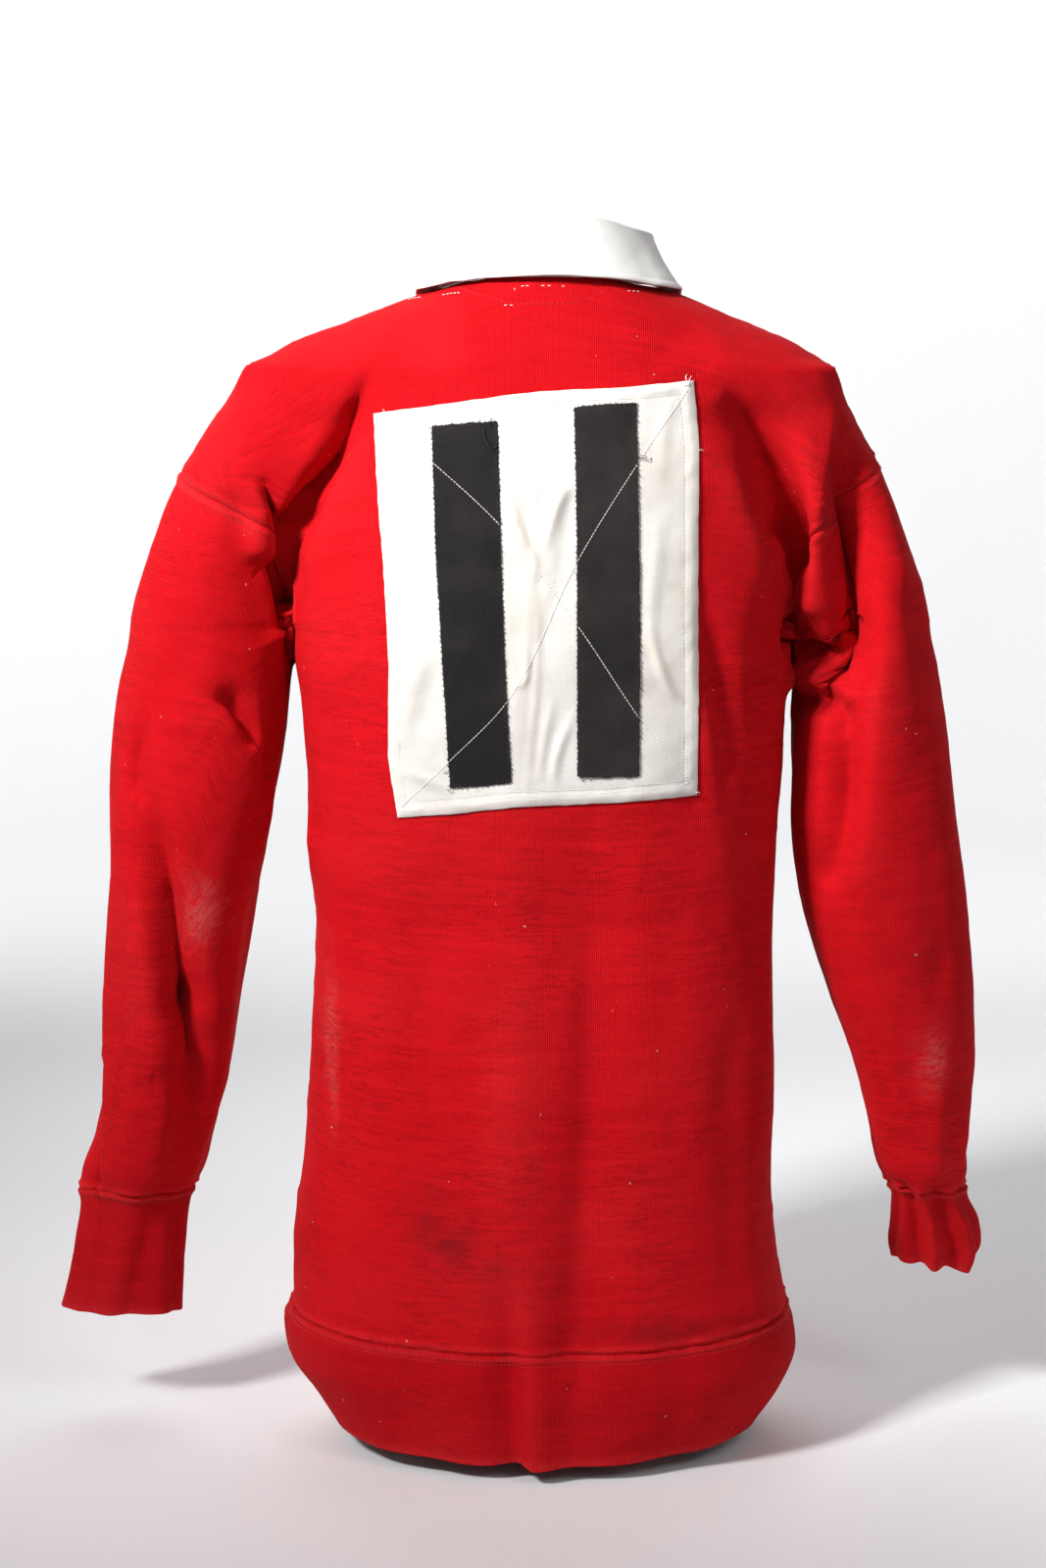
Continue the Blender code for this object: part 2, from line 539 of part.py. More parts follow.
def laid_on(name, surface, corners, face, near, thick, mat):
    """A flat-cut piece that lies on a panel: the panel's own triangles inside the outline, moved out."""
    verts, faces, normals = surface
    bm = bmesh.new()
    layer = bm.verts.layers.float_vector.new("out")
    made = []
    for p, n in zip(verts, normals):
        v = bm.verts.new(p)
        v[layer] = n
        made.append(v)
    bm.verts.ensure_lookup_table()
    for f in faces:
        tri = [made[k] for k in f]
        if all(v.co.y * face > 0.02 for v in tri):
            bm.faces.new(tri)
    count = len(corners)
    centre = Vector((sum(c[0] for c in corners) / count, 0, sum(c[1] for c in corners) / count))
    for k in range(count):
        a = Vector((corners[k][0], 0, corners[k][1]))
        b = Vector((corners[(k + 1) % count][0], 0, corners[(k + 1) % count][1]))
        out = (b - a).cross(Vector((0, 1, 0))).normalized()
        if out.dot(centre - a) > 0:
            out.negate()
        bmesh.ops.bisect_plane(
            bm, geom=bm.verts[:] + bm.edges[:] + bm.faces[:], dist=1e-6,
            plane_co=a, plane_no=out, clear_outer=True, clear_inner=False,
        )
    bmesh.ops.remove_doubles(bm, verts=bm.verts, dist=2e-5)
    bmesh.ops.triangulate(bm, faces=bm.faces)
    bm.verts.ensure_lookup_table()
    loose = [v for v in bm.verts if not v.link_faces]
    for v in loose:
        bm.verts.remove(v)
    bm.verts.index_update()
    pts = [v.co.copy() for v in bm.verts]
    outs = [Vector(v[layer]).normalized() for v in bm.verts]
    tris = [tuple(v.index for v in f.verts) for f in bm.faces]
    bm.free()
    all_verts, all_faces = wall_from(
        np.array([tuple(p) for p in pts]), tris, np.array([tuple(o) for o in outs]), near, near + thick
    )
    return place(name, all_verts, all_faces, mat)


# ---------------------------------------------------------------- clear the scene
for old in list(bpy.data.objects):
    bpy.data.objects.remove(old, do_unlink=True)

# Colour and roughness of each cloth.
jersey, rib = (RED, 0.9), (RED_RIB, 0.9)
white, calico = (WHITE, 0.85), (CALICO, 0.9)
black, rubber = (BLACK, 0.9), (RUBBER, 0.55)

# ---------------------------------------------------------------- grids and their seam normals
grids = {"back": body_panel(1), "front": body_panel(-1)}
bands = {"back": hem_band(1), "front": hem_band(-1)}
sleeves = {1: sleeve(1), -1: sleeve(-1)}
cuffs = {1: cuff(1), -1: cuff(-1)}



def all_normals():
    """Outward unit normals of every grid, made equal along the seams."""
    out = {}
    for face, name in ((1, "back"), (-1, "front")):
        for key, grid in ((name, grids[name]), ("band_" + name, bands[name])):
            n = normals_of(grid, False)
            out[key] = n * (1 if n[2, cols_of(face), 1] * face > 0 else -1)
    for side in (1, -1):
        for key, grid in ((side, sleeves[side]), (("cuff", side), cuffs[side])):
            n = normals_of(grid, True)
            out[key] = n * (1 if n[2, 0, 0] * side > 0 else -1)
    # Front and back share the normals of their side and shoulder seams.
    for col in (0, -1):
        for a, b in (("back", "front"), ("band_back", "band_front")):
            out[a][:, col] = out[b][:, col] = unit(out[a][:, col] + out[b][:, col])
    # Panels and the hem band share theirs along the hem seam.
    for name in ("back", "front"):
        out[name][0] = out["band_" + name][0] = unit(out[name][0] + out["band_" + name][0])
    # Panels and sleeves share theirs round the armhole, evened out along it so that the rims don't twist.
    for side, col in ((1, -1), (-1, 0)):
        at = []
        for k in range(2 * ARMHOLE_STEPS):
            name = "back" if k <= ARMHOLE_STEPS else "front"
            at.append((name, LOW_ROWS + (ARMHOLE_STEPS - k if k <= ARMHOLE_STEPS else k - ARMHOLE_STEPS)))
        ring = unit(out[side][0] + np.array([out[name][row, col] for name, row in at]))
        ring[ARMHOLE_STEPS] = (0, 0, -1)
        for _ in range(2):
            ring = unit(2 * ring + np.roll(ring, 1, 0) + np.roll(ring, -1, 0))
        out[side][0] = ring
        for (name, row), n in zip(at, ring):
            out[name][row, col] = n
        for row, k in ((LOW_ROWS, ARMHOLE_STEPS), (LOW_ROWS + ARMHOLE_STEPS, 0)):
            out["front"][row, col] = out["back"][row, col] = ring[k]
        out[side][-1] = out["cuff", side][0] = unit(out[side][-1] + out["cuff", side][0])
    return out


out = all_normals()
for key, grid in (
    ("back", grids["back"]), ("front", grids["front"]), ("band_back", bands["back"]),
    ("band_front", bands["front"]), (1, sleeves[1]), (-1, sleeves[-1]),
):
    grid -= out[key] * fold_depth(grid, out[key])[..., None]
for side in (1, -1):
    cuffs[side][0] = sleeves[side][-1]
out = all_normals()

# ---------------------------------------------------------------- body, sleeves, cuffs, hem band
surfaces = {}
for name in ("back", "front"):
    surfaces[name] = panel(name, grids[name], out[name], False, jersey)
    panel("hem_band_" + name, bands[name], out["band_" + name], False, rib, edges=("first", "sides"))
for side, word in ((1, "left"), (-1, "right")):
    panel("sleeve_" + word, sleeves[side], out[side], True, jersey)
    panel("cuff_" + word, cuffs[side], out["cuff", side], True, rib, edges=("first",))

# ---------------------------------------------------------------- number patch and bars
laid_on("number_patch", surfaces["back"], PATCH, 1, LIE, PATCH_CLOTH, calico)
bar_near = 2 * LIE + PATCH_CLOTH
laid_on("number_bar_left", surfaces["back"], BAR_LEFT, 1, bar_near, PATCH_CLOTH, black)
laid_on("number_bar_right", surfaces["back"], BAR_RIGHT, 1, bar_near, PATCH_CLOTH, black)

# ---------------------------------------------------------------- placket and buttons
front_neck = float(grids["front"][-1, FRONT_COLS, 2])
w = PLACKET_W / 2
laid_on(
    "placket", surfaces["front"],
    ((-w, front_neck - 0.004), (w, front_neck - 0.004), (w, PLACKET_END), (-w, PLACKET_END)),
    -1, LIE, PATCH_CLOTH * 1.6, white,
)


def front_at(z):
    """(point, outward normal) on the front panel's centre line at a height."""
    line, outs = grids["front"][:, FRONT_COLS], out["front"][:, FRONT_COLS]
    p = np.array([np.interp(z, line[:, 2], line[:, k]) for k in range(3)])
    n = unit(np.array([np.interp(z, line[:, 2], outs[:, k]) for k in range(3)]))
    return p, n


for k, z in enumerate(BUTTON_Z):
    p, n = front_at(z)
    stand = 2 * LIE + PATCH_CLOTH * 1.6 + 0.0005
    profile = ((0.0, 0.0), (0.82, 0.0), (1.0, 0.22), (1.0, 0.66), (0.86, 0.95), (0.62, 0.98), (0.55, 0.80), (0.0, 0.76))
    steps = 14
    verts, faces = [], []
    for r, h in profile[1:-1]:
        for s in range(steps):
            a = 2 * math.pi * s / steps
            verts.append((BUTTON_R * r * math.cos(a), BUTTON_R * r * math.sin(a), BUTTON_H * h))
    base, top = len(verts), len(verts) + 1
    verts += [(0, 0, 0), (0, 0, BUTTON_H * profile[-1][1])]
    rings = len(profile) - 2
    for r in range(rings - 1):
        for s in range(steps):
            a, b = r * steps + s, r * steps + (s + 1) % steps
            faces.append((a, b, b + steps, a + steps))
    for s in range(steps):
        faces.append((base, (s + 1) % steps, s))
        faces.append((top, (rings - 1) * steps + s, (rings - 1) * steps + (s + 1) % steps))
    turn = Vector(n).to_track_quat("Z", "Y").to_matrix()
    pts = [turn @ Vector(v) + Vector(p + n * stand) for v in verts]
    place("button_%d" % (k + 1), [tuple(v) for v in pts], faces, rubber)

# ---------------------------------------------------------------- collar
# The neckline: the top rows of the two panels, as one loop from the front middle round the back to the front middle.
neck_back, neck_front = grids["back"][-1], grids["front"][-1]
loop = np.concatenate([neck_front[FRONT_COLS::-1], neck_back[1:], neck_front[::-1][1:FRONT_COLS + 1]])
centre = np.array([(loop[:, 0].max() + loop[:, 0].min()) / 2, 0.014, 0.0])
turns = np.degrees(np.arctan2(loop[:, 0] - centre[0], loop[:, 1] - centre[1]))
LEAF_STEPS = 2
sections = []
for k in range(1, len(loop) - 1):
    t = abs(turns[k])
    if t > COLLAR["turn"][-1] + 1:
        continue
    p = loop[k]
    ahead = unit((loop[k + 1] - loop[k - 1]) * np.array([1, 1, 0]))
    away = np.array([ahead[1], -ahead[0], 0.0])
    if away @ (p - centre) < 0:
        away = -away
    stand, lean, drop, spread, slide = (
        float(read(COLLAR, column, t, "turn")) for column in ("stand", "lean", "drop", "spread", "slide")
    )
    toward_back = ahead if ahead[1] * math.cos(math.radians(t)) >= 0 else -ahead
    if abs(toward_back[1]) < 1e-6:
        toward_back = ahead
    toward_back = np.array([math.copysign(abs(toward_back[0]), p[0]), abs(toward_back[1]), 0.0])
    up = np.array([0.0, 0.0, 1.0])
    foot = p + up * 0.00045 - away * 0.0006
    fold = foot + up * stand + away * lean
    roll = 0.0042
    section = [foot, foot + (fold - foot) * 0.5, fold, fold + up * 0.0016 + away * roll * 0.5, fold + away * roll]
    for s in range(1, LEAF_STEPS + 1):
        f = s / LEAF_STEPS
        section.append(
            fold + away * (roll + spread * (0.6 * f + 0.4 * f * f)) - up * drop * f + toward_back * slide * f
        )
    sections.append(section)
collar = np.array(sections)
n = normals_of(collar, False)
if n[len(sections) // 2, -1, 1] < 0:
    n = -n
faces = triangles(collar.shape[0], collar.shape[1], False)
verts, all_faces = wall_from(collar.reshape(-1, 3), faces, n.reshape(-1, 3), -COLLAR_CLOTH, 0.0)
place("collar", verts, all_faces, white)
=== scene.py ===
import math

import bmesh
import bpy
import numpy as np
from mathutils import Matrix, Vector
from mathutils.bvhtree import BVHTree


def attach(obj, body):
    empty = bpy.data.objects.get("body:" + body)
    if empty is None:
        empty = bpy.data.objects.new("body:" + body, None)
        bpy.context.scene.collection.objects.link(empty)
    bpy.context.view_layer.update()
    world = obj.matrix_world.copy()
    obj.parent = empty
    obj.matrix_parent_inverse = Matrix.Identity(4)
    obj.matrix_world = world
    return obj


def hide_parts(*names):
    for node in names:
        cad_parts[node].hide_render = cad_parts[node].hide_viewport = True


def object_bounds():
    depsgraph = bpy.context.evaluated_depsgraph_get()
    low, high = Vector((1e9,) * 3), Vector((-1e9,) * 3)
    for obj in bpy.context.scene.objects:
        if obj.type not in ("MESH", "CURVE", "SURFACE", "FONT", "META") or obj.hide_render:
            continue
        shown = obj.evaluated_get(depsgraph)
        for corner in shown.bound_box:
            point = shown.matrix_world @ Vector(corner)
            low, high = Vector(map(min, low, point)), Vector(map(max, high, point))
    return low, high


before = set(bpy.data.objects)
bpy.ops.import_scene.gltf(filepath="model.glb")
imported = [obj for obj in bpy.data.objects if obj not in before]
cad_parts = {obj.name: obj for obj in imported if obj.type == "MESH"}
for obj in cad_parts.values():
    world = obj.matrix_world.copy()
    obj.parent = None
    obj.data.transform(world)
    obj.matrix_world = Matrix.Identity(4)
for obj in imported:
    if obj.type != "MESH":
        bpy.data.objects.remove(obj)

# Long-sleeved rugby shirt of heavy red cotton jersey: the looks.
# Metres, +Z up. The shirt's back faces +Y and its front -Y; the wearer's left is +X.
# Every cloth is a thin closed shell on the form of its solid, worked out from the same section tables as the solids,
# with many more rows, finer folds, seam relief and real stitches.

cad_box = [list(v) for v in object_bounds()]

# ---------------------------------------------------------------- camera: level with the shoulders, behind, 7 degrees down
PITCH = math.atan(370 / 3000)
camera_data = bpy.data.cameras.new("camera")
camera_data.sensor_fit = "AUTO"
camera_data.sensor_width = 36.0
camera_data.lens = 67.5
camera_data.clip_start, camera_data.clip_end = 0.05, 60.0
camera = bpy.data.objects.new("camera", camera_data)
camera.location = (0.0133, 2.05, -0.087)
camera.rotation_euler = (math.pi / 2 - PITCH, 0.0, math.pi)
bpy.context.scene.collection.objects.link(camera)
bpy.context.scene.camera = camera

# ---------------------------------------------------------------- sizes, as in the solids
CLOTH = 0.0018          # wall of the jersey
RIB_CLOTH = 0.0024      # wall of the double cuffs and hem band
COLLAR_CLOTH = 0.0017   # wall of the two-ply collar
SIDE_COLS = 80          # columns of the back, centre line to side
FRONT_SIDE_COLS = 60    # the same on the front
LOW_ROWS = 132          # rows from the hem seam up to the armpit
ARM_ROWS = 84           # rows along half an armhole
TOP_ROWS = 22           # rows from the armhole's top to the shoulder tip
NECK_ROWS = 42          # rows from the shoulder tip to the neckline
SLEEVE_ROWS = 176
CUFF_ROWS = 34
HEM_ROWS = 34
# Distances of the rows and columns that lie close to a seam.
CLOSE = (0.0, .0008, .0016, .0025, .0036, .0050, .0068, .0090)

BUTTON_R = 0.0060       # button radius
BUTTON_H = 0.0032
PLACKET_W = 0.032
PLACKET_END = -0.205
BUTTON_Z = (-0.094, -0.138, -0.182)
# Torso sections. half_l and half_r are the half widths on the wearer's left and right.
TORSO = dict(
    z=     (-.7200, -.7085, -.6651, -.6076, -.5222, -.4375, -.3816, -.3260, -.2800, -.2460, -.2159, -.1750, -.1425, -.1207, -.0900, -.0668, -.0500, -.0427, -.0320, -.0213, -.0106, -.0010, .0035, .0110),
    half_l=(.1765, .1755, .1755, .1685, .1620, .1580, .1618, .1640, .1672, .1722, .1712, .1690, .1665, .1650, .1660, .1850, .2010, .1890, .1664, .1406, .1130, .0850, .0700, .0440),
    half_r=(.1750, .1740, .1670, .1626, .1632, .1620, .1635, .1668, .1690, .1722, .1712, .1690, .1665, .1650, .1660, .1850, .1985, .1890, .1700, .1450, .1190, .0920, .0790, .0620),
    back=  (.1200, .1200, .1170, .1105, .1040, .1045, .1110, .1180, .1225, .1245, .1250, .1232, .1205, .1180, .1120, .1065, .1020, .1000, .0970, .0940, .0905, .0865, .0845, .0800),
    front= (-.1120, -.1120, -.1120, -.1120, -.1140, -.1180, -.1215, -.1240, -.1250, -.1250, -.1235, -.1190, -.1120, -.1050, -.0920, -.0790, -.0670, -.0610, -.0510, -.0400, -.0270, -.0130, -.0050, .0000),
    seam_y=(.0, .0, .0, .0, .0, .0, .0, .0, .0, .0, .0, .0, .0, .0, .0, .0, .0, .001, .004, .008, .013, .018, .020, .022),
    power= (2.5, 2.5, 2.5, 2.5, 2.5, 2.5, 2.5, 2.5, 2.5, 2.5, 2.5, 2.5, 2.4, 2.4, 2.3, 2.2, 2.1, 2.05, 2.0, 2.0, 2.0, 2.0, 2.0, 2.0),
)
PIT_Z = -.2460          # height of the armpits
TIP_Z = -.0500          # height of the shoulder tips
NECK_Z = .0035          # height of the shoulder seams' inner ends
HEM_Z = -.7085          # height of the hem seam at the sides
# Heights at the middle of the back and of the front: the rows of a panel run up or down to these from its side.
MIDDLE = dict(
    row=  ("hem", "pit", "tip", "neck"),
    back= (-.7165, -.2460, -.0450, .0095),
    front=(-.7085, -.2460, -.0860, -.0515),
)
BLEND = .046            # how softly an arm runs into the torso at the shoulder
CLEFT = .016            # the same in the cleft behind and before the armpit
CLEFT_Z = -.1800        # height of the cleft's top
# Arm sections: outer and inner edge away from the middle, half depth, and how far back the middle lies.
ARM_L = dict(
    z=    (-.6370, -.6220, -.5933, -.5506, -.4797, -.4095, -.3537, -.2983, -.2700, -.2460, -.2159, -.1614, -.1207, -.0900, -.0668, -.0500),
    outer=(.3345, .3312, .3230, .3155, .3098, .3060, .3033, .2992, .2955, .2910, .2850, .2662, .2485, .2295, .2130, .2010),
    inner=(.2510, .2433, .2345, .2235, .2108, .1982, .1852, .1778, .1762, .1722, .1700, .1600, .1500, .1400, .1300, .1200),
    deep= (.0330, .0390, .0420, .0450, .0490, .0535, .0580, .0610, .0615, .0615, .0610, .0610, .0615, .0590, .0500, .0350),
    mid_y=(-.0320, -.0290, -.0210, -.0120, .0000, .0070, .0080, .0050, .0020, .0000, .0010, .0020, .0000, .0000, .0000, .0000),
)
ARM_R = dict(
    z=    (-.6370, -.6220, -.5933, -.5506, -.4797, -.4095, -.3537, -.2983, -.2700, -.2460, -.2159, -.1614, -.1207, -.0900, -.0668, -.0500),
    outer=(.3068, .3075, .3090, .3090, .3047, .2990, .2911, .2819, .2772, .2730, .2675, .2505, .2345, .2190, .2066, .1985),
    inner=(.2500, .2415, .2345, .2234, .1985, .1800, .1735, .1742, .1752, .1722, .1690, .1580, .1480, .1380, .1280, .1180),
    deep= (.0300, .0370, .0420, .0460, .0510, .0560, .0600, .0620, .0620, .0615, .0610, .0610, .0620, .0600, .0510, .0360),
    mid_y=(-.0360, -.0310, -.0230, -.0140, -.0040, .0010, .0020, .0020, .0010, .0000, .0010, .0020, .0000, .0000, .0000, .0000),
)
# Height of the armhole seam round the arm: 0 is the outer side, 180 the armpit.
ARMHOLE = dict(
    turn=(0, 45, 78, 107, 132, 155, 180),
    left=(-.1207, -.1310, -.1425, -.1585, -.1700, -.2050, -.2460),
    right=(-.1120, -.1265, -.1380, -.1560, -.1720, -.2080, -.2460),
)
# Hem band: half widths, depths, how square the ring is, and the extra drop at the back and front middle.
HEM_BAND = dict(
    z=     (-.7085, -.7200, -.7380, -.7650, -.7930),
    half_l=(.1755, .1825, .1805, .1655, .1500),
    half_r=(.1740, .1790, .1820, .1735, .1555),
    back=  (.1200, .1220, .1230, .1205, .1160),
    front= (-.1120, -.1140, -.1155, -.1140, -.1100),
    power= (2.5, 2.45, 2.35, 2.2, 2.1),
    rise_b=(-.0080, -.0070, -.0060, -.0040, -.0030),
    rise_f=(.0, .0, .0, .0, .0),
)
# Cuffs: rings from the sleeve's end to the cuff's edge; lean is how far the ring's outer side is raised.
CUFF_L = dict(
    z=    (-.6370, -.6480, -.6780, -.7080, -.7320),
    outer=(.3345, .3340, .3390, .3450, .3520),
    inner=(.2510, .2555, .2590, .2615, .2630),
    deep= (.0330, .0290, .0260, .0235, .0215),
    mid_y=(-.0320, -.0335, -.0370, -.0420, -.0470),
    lean= (.0, .0, .0, .001, .002),
)
CUFF_R = dict(
    z=    (-.6370, -.6470, -.6660, -.6860, -.7020),
    outer=(.3068, .3105, .3205, .3245, .3185),
    inner=(.2500, .2545, .2550, .2545, .2575),
    deep= (.0300, .0275, .0270, .0270, .0260),
    mid_y=(-.0360, -.0400, -.0480, -.0580, -.0650),
    lean= (.0, .0, -.001, -.002, -.003),
)
# Collar round the neck: turn 0 is the back middle and 180 the front. Sizes of the stand and of the leaf that falls over it.
COLLAR = dict(
    turn=  (0, 30, 60, 90, 120, 145, 160, 172),
    stand= (.0375, .0370, .0350, .0325, .0300, .0270, .0245, .0230),   # height of the fold above the neckline
    lean=  (-.0150, -.0130, -.0090, -.0065, -.0040, -.0010, .0010, .0020),  # how far the fold lies outwards
    drop=  (.0380, .0375, .0350, .0330, .0370, .0460, .0530, .0570),   # how far the leaf's edge hangs below the fold
    spread=(.0200, .0200, .0190, .0200, .0285, .0370, .0430, .0460),   # how far the leaf's edge stands out from the fold
    slide= (.0, .0, .0, .0, .0, .0040, .0120, .0200),                  # how far the leaf's edge slants back along the neck
)
# Number patch and bars on the back: corners in (x, z), going round.
PATCH = ((.1105, -.0819), (-.0985, -.0603), (-.1024, -.3315), (.0971, -.3480))
BAR_LEFT = ((.0722, -.0905), (.0302, -.0875), (.0235, -.3265), (.0640, -.3285))
BAR_RIGHT = ((-.0207, -.0780), (-.0600, -.0770), (-.0625, -.3215), (-.0228, -.3215))

# ---------------------------------------------------------------- smooth curves through tables
def through(xs, ys, x):
    """A smooth curve through the points of a table, read at x, which can't overshoot."""
    xs, ys, x = np.asarray(xs, float), np.asarray(ys, float), np.asarray(x, float)
    h = np.diff(xs)
    d = np.diff(ys) / h
    m = np.zeros(len(xs))
    m[0], m[-1] = d[0], d[-1]
    for k in range(1, len(xs) - 1):
        if d[k - 1] * d[k] > 0:
            w1, w2 = 2 * h[k] + h[k - 1], h[k] + 2 * h[k - 1]
            m[k] = (w1 + w2) / (w1 / d[k - 1] + w2 / d[k])
    x = np.clip(x, xs[0], xs[-1])
    i = np.clip(np.searchsorted(xs, x) - 1, 0, len(xs) - 2)
    t = (x - xs[i]) / h[i]
    return (
        ys[i] * (1 + 2 * t) * (1 - t) ** 2
        + m[i] * h[i] * t * (1 - t) ** 2
        + ys[i + 1] * t * t * (3 - 2 * t)
        + m[i + 1] * h[i] * t * t * (t - 1)
    )


FINE = 4000
fine_tables = {}


def read(table, column, at, key="z"):
    """A table's column at a height. The smooth curve is worked out once in fine steps."""
    name = (id(table), column)
    if name not in fine_tables:
        low, high = table[key][0], table[key][-1]
        fine_tables[name] = (low, (high - low) / FINE, through(table[key], table[column], np.linspace(low, high, FINE + 1)))
    low, step, values = fine_tables[name]
    f = np.clip((np.asarray(at, float) - low) / step, 0, FINE - 1e-6)
    i = f.astype(int)
    f = f - i
    return values[i] * (1 - f) + values[i + 1] * f


def read_down(table, column, z):
    """As read(), for a table whose heights run downwards."""
    return through([-v for v in table["z"]], table[column], -np.asarray(z, float))


def smooth(t):
    t = np.clip(t, 0, 1)
    return t * t * (3 - 2 * t)


def unit(v):
    return v / np.maximum(np.linalg.norm(v, axis=-1, keepdims=True), 1e-12)


def soft_max(a, b, k):
    return np.maximum(a, b) + np.maximum(k - np.abs(a - b), 0) ** 2 / (4 * k)


# ---------------------------------------------------------------- form of the worn shirt
def arm_of(side):
    return ARM_L if side > 0 else ARM_R


def arm_point(side, z, turn):
    """A point on the arm's section. turn 0 is the outer side, 90 the back, 180 the armpit and 270 the front."""
    table = arm_of(side)
    outer, inner = read(table, "outer", z), read(table, "inner", z)
    a = np.radians(turn)
    x = (outer + inner) / 2 + (outer - inner) / 2 * np.cos(a)
    y = read(table, "mid_y", z) + read(table, "deep", z) * np.sin(a)
    return np.stack([side * x, y, z + 0 * x], -1)


def armhole_z(side, turn):
    turn = np.abs((np.asarray(turn, float) + 180) % 360 - 180)
    return through(ARMHOLE["turn"], ARMHOLE["left" if side > 0 else "right"], turn)


def field(points):
    """Roughly the distance of points from the shirt's surface, below zero inside. The arms part from the torso below the armpits."""
    x, y, z = points[..., 0], points[..., 1], points[..., 2]
    seam_y, power = read(TORSO, "seam_y", z), read(TORSO, "power", z)
    half = np.where(x > 0, read(TORSO, "half_l", z), read(TORSO, "half_r", z))
    deep = np.abs(np.where(y > seam_y, read(TORSO, "back", z), read(TORSO, "front", z)) - seam_y)
    u, v = np.abs(x) / half + 1e-9, np.abs(y - seam_y) / deep + 1e-9
    r = (u**power + v**power) ** (1 / power)
    slope = r ** (1 - power) * np.hypot(u ** (power - 1) / half, v ** (power - 1) / deep)
    torso = (r - 1) / slope
    arm = np.full(x.shape, 1.0)
    for side in (1, -1):
        table = arm_of(side)
        outer, inner = read(table, "outer", z), read(table, "inner", z)
        wide, arm_deep = (outer - inner) / 2, read(table, "deep", z)
        u = (side * x - (outer + inner) / 2) / wide
        v = (y - read(table, "mid_y", z)) / arm_deep
        r = np.hypot(u, v) + 1e-9
        slope = np.hypot(u / wide, v / arm_deep) / r
        arm = np.minimum(arm, (r - 1) / np.maximum(slope, 1e-6))
    arm = arm + 6 * np.maximum(z - TIP_Z, 0) + 3 * np.maximum(PIT_Z + 0.022 - z, 0)
    rise = np.clip((z - CLEFT_Z) / 0.055, 0, 1)
    k = CLEFT + (BLEND - CLEFT) * rise * rise * (3 - 2 * rise)
    return -soft_max(-torso, -arm, k)


def slope_of(points):
    step = 2e-4
    return np.stack([
        (field(points + step * np.eye(3)[k]) - field(points - step * np.eye(3)[k])) / (2 * step) for k in range(3)
    ], -1)


def skin(x, z, face, steps=24):
    """y of the surface over (x, z) on the back (face 1) or front (-1), by halving the way in from outside."""
    far = np.full(x.shape, 0.22 * face)
    near = read(TORSO, "seam_y", z) + 0 * x
    for _ in range(steps):
        y = (far + near) / 2
        inside = field(np.stack([x, y, z], -1)) < 0
        near, far = np.where(inside, y, near), np.where(inside, far, y)
    return (far + near) / 2


def onto(points):
    """Points moved onto the surface along its slope."""
    for _ in range(6):
        f = field(points)
        slope = slope_of(points)
        move = f[..., None] * slope / np.maximum((slope**2).sum(-1, keepdims=True), 0.2)
        length = np.linalg.norm(move, axis=-1, keepdims=True)
        points = points - move * np.minimum(1, 0.004 / np.maximum(length, 1e-9))
    return points


def lengths(line):
    return np.concatenate([[0], np.cumsum(np.linalg.norm(np.diff(line, axis=0), axis=-1))])


def at_fractions(line, fractions, *also):
    """The line's points at fractions of its length, and other values that run along it."""
    along = lengths(line)
    at = np.asarray(fractions) * along[-1]
    made = [np.stack([np.interp(at, along, line[:, k]) for k in range(3)], -1)]
    return made + [np.interp(at, along, a) for a in also] if also else made[0]


def fractions(length, count, near_start, near_end, grade=0.0):
    """count + 1 fractions from 0 to 1 of a length, close together at the ends that are seams. With a grade they also close up steadily."""
    head = [d / length for d in CLOSE] if near_start else [0.0]
    tail = [1 - d / length for d in reversed(CLOSE)] if near_end else [1.0]
    t = np.linspace(0, 1, count + 3 - len(head) - len(tail))[1:-1]
    inner = head[-1] + (tail[0] - head[-1]) * (t + grade * t * (1 - t))
    return np.concatenate([head, inner, tail])


# ---------------------------------------------------------------- armholes
armholes = {}
for side in (1, -1):
    for face in (1, -1):
        turn = np.linspace(180, 0, 361)
        p = arm_point(side, armhole_z(side, turn), turn * face)
        p[1:-1, 1] = skin(p[1:-1, 0], p[1:-1, 2], face)
        # Both ends lie on the arm's own section, and the seam runs smoothly out of the armpit.
        ease = smooth(np.linspace(0, 1, 361) / 0.06)
        p[:, 1] = p[0, 1] * (1 - ease) + p[:, 1] * ease
        armholes[side, face] = at_fractions(p, np.linspace(0, 1, ARM_ROWS + 1), turn * face)


def row_ends(side, face):
    """End points of the rows of half a body panel, from the hem seam to the neckline."""
    half = "half_l" if side > 0 else "half_r"
    low = fractions(PIT_Z - HEM_Z, LOW_ROWS, True, False)[:-1]
    z = HEM_Z + (PIT_Z - HEM_Z) * low
    rows = [np.stack([side * read(TORSO, half, z), read(TORSO, "seam_y", z), z], -1)]
    rows.append(armholes[side, face][0])
    top = float(armhole_z(side, 0))
    z = top + (TIP_Z - top) * np.linspace(0, 1, TOP_ROWS + 1)[1:]
    rows.append(arm_point(side, z, 0.0))
    t = fractions(0.145, NECK_ROWS, False, True)[1:]
    z = TIP_Z + (NECK_Z - TIP_Z) * t
    line = np.stack([side * read(TORSO, half, z), read(TORSO, "seam_y", z), z], -1)
    full = np.linspace(TIP_Z, NECK_Z, 400)
    full = np.stack([side * read(TORSO, half, full), read(TORSO, "seam_y", full), full], -1)
    full[0] = rows[-1][-1]
    rows.append(at_fractions(full, t))
    return np.concatenate(rows)


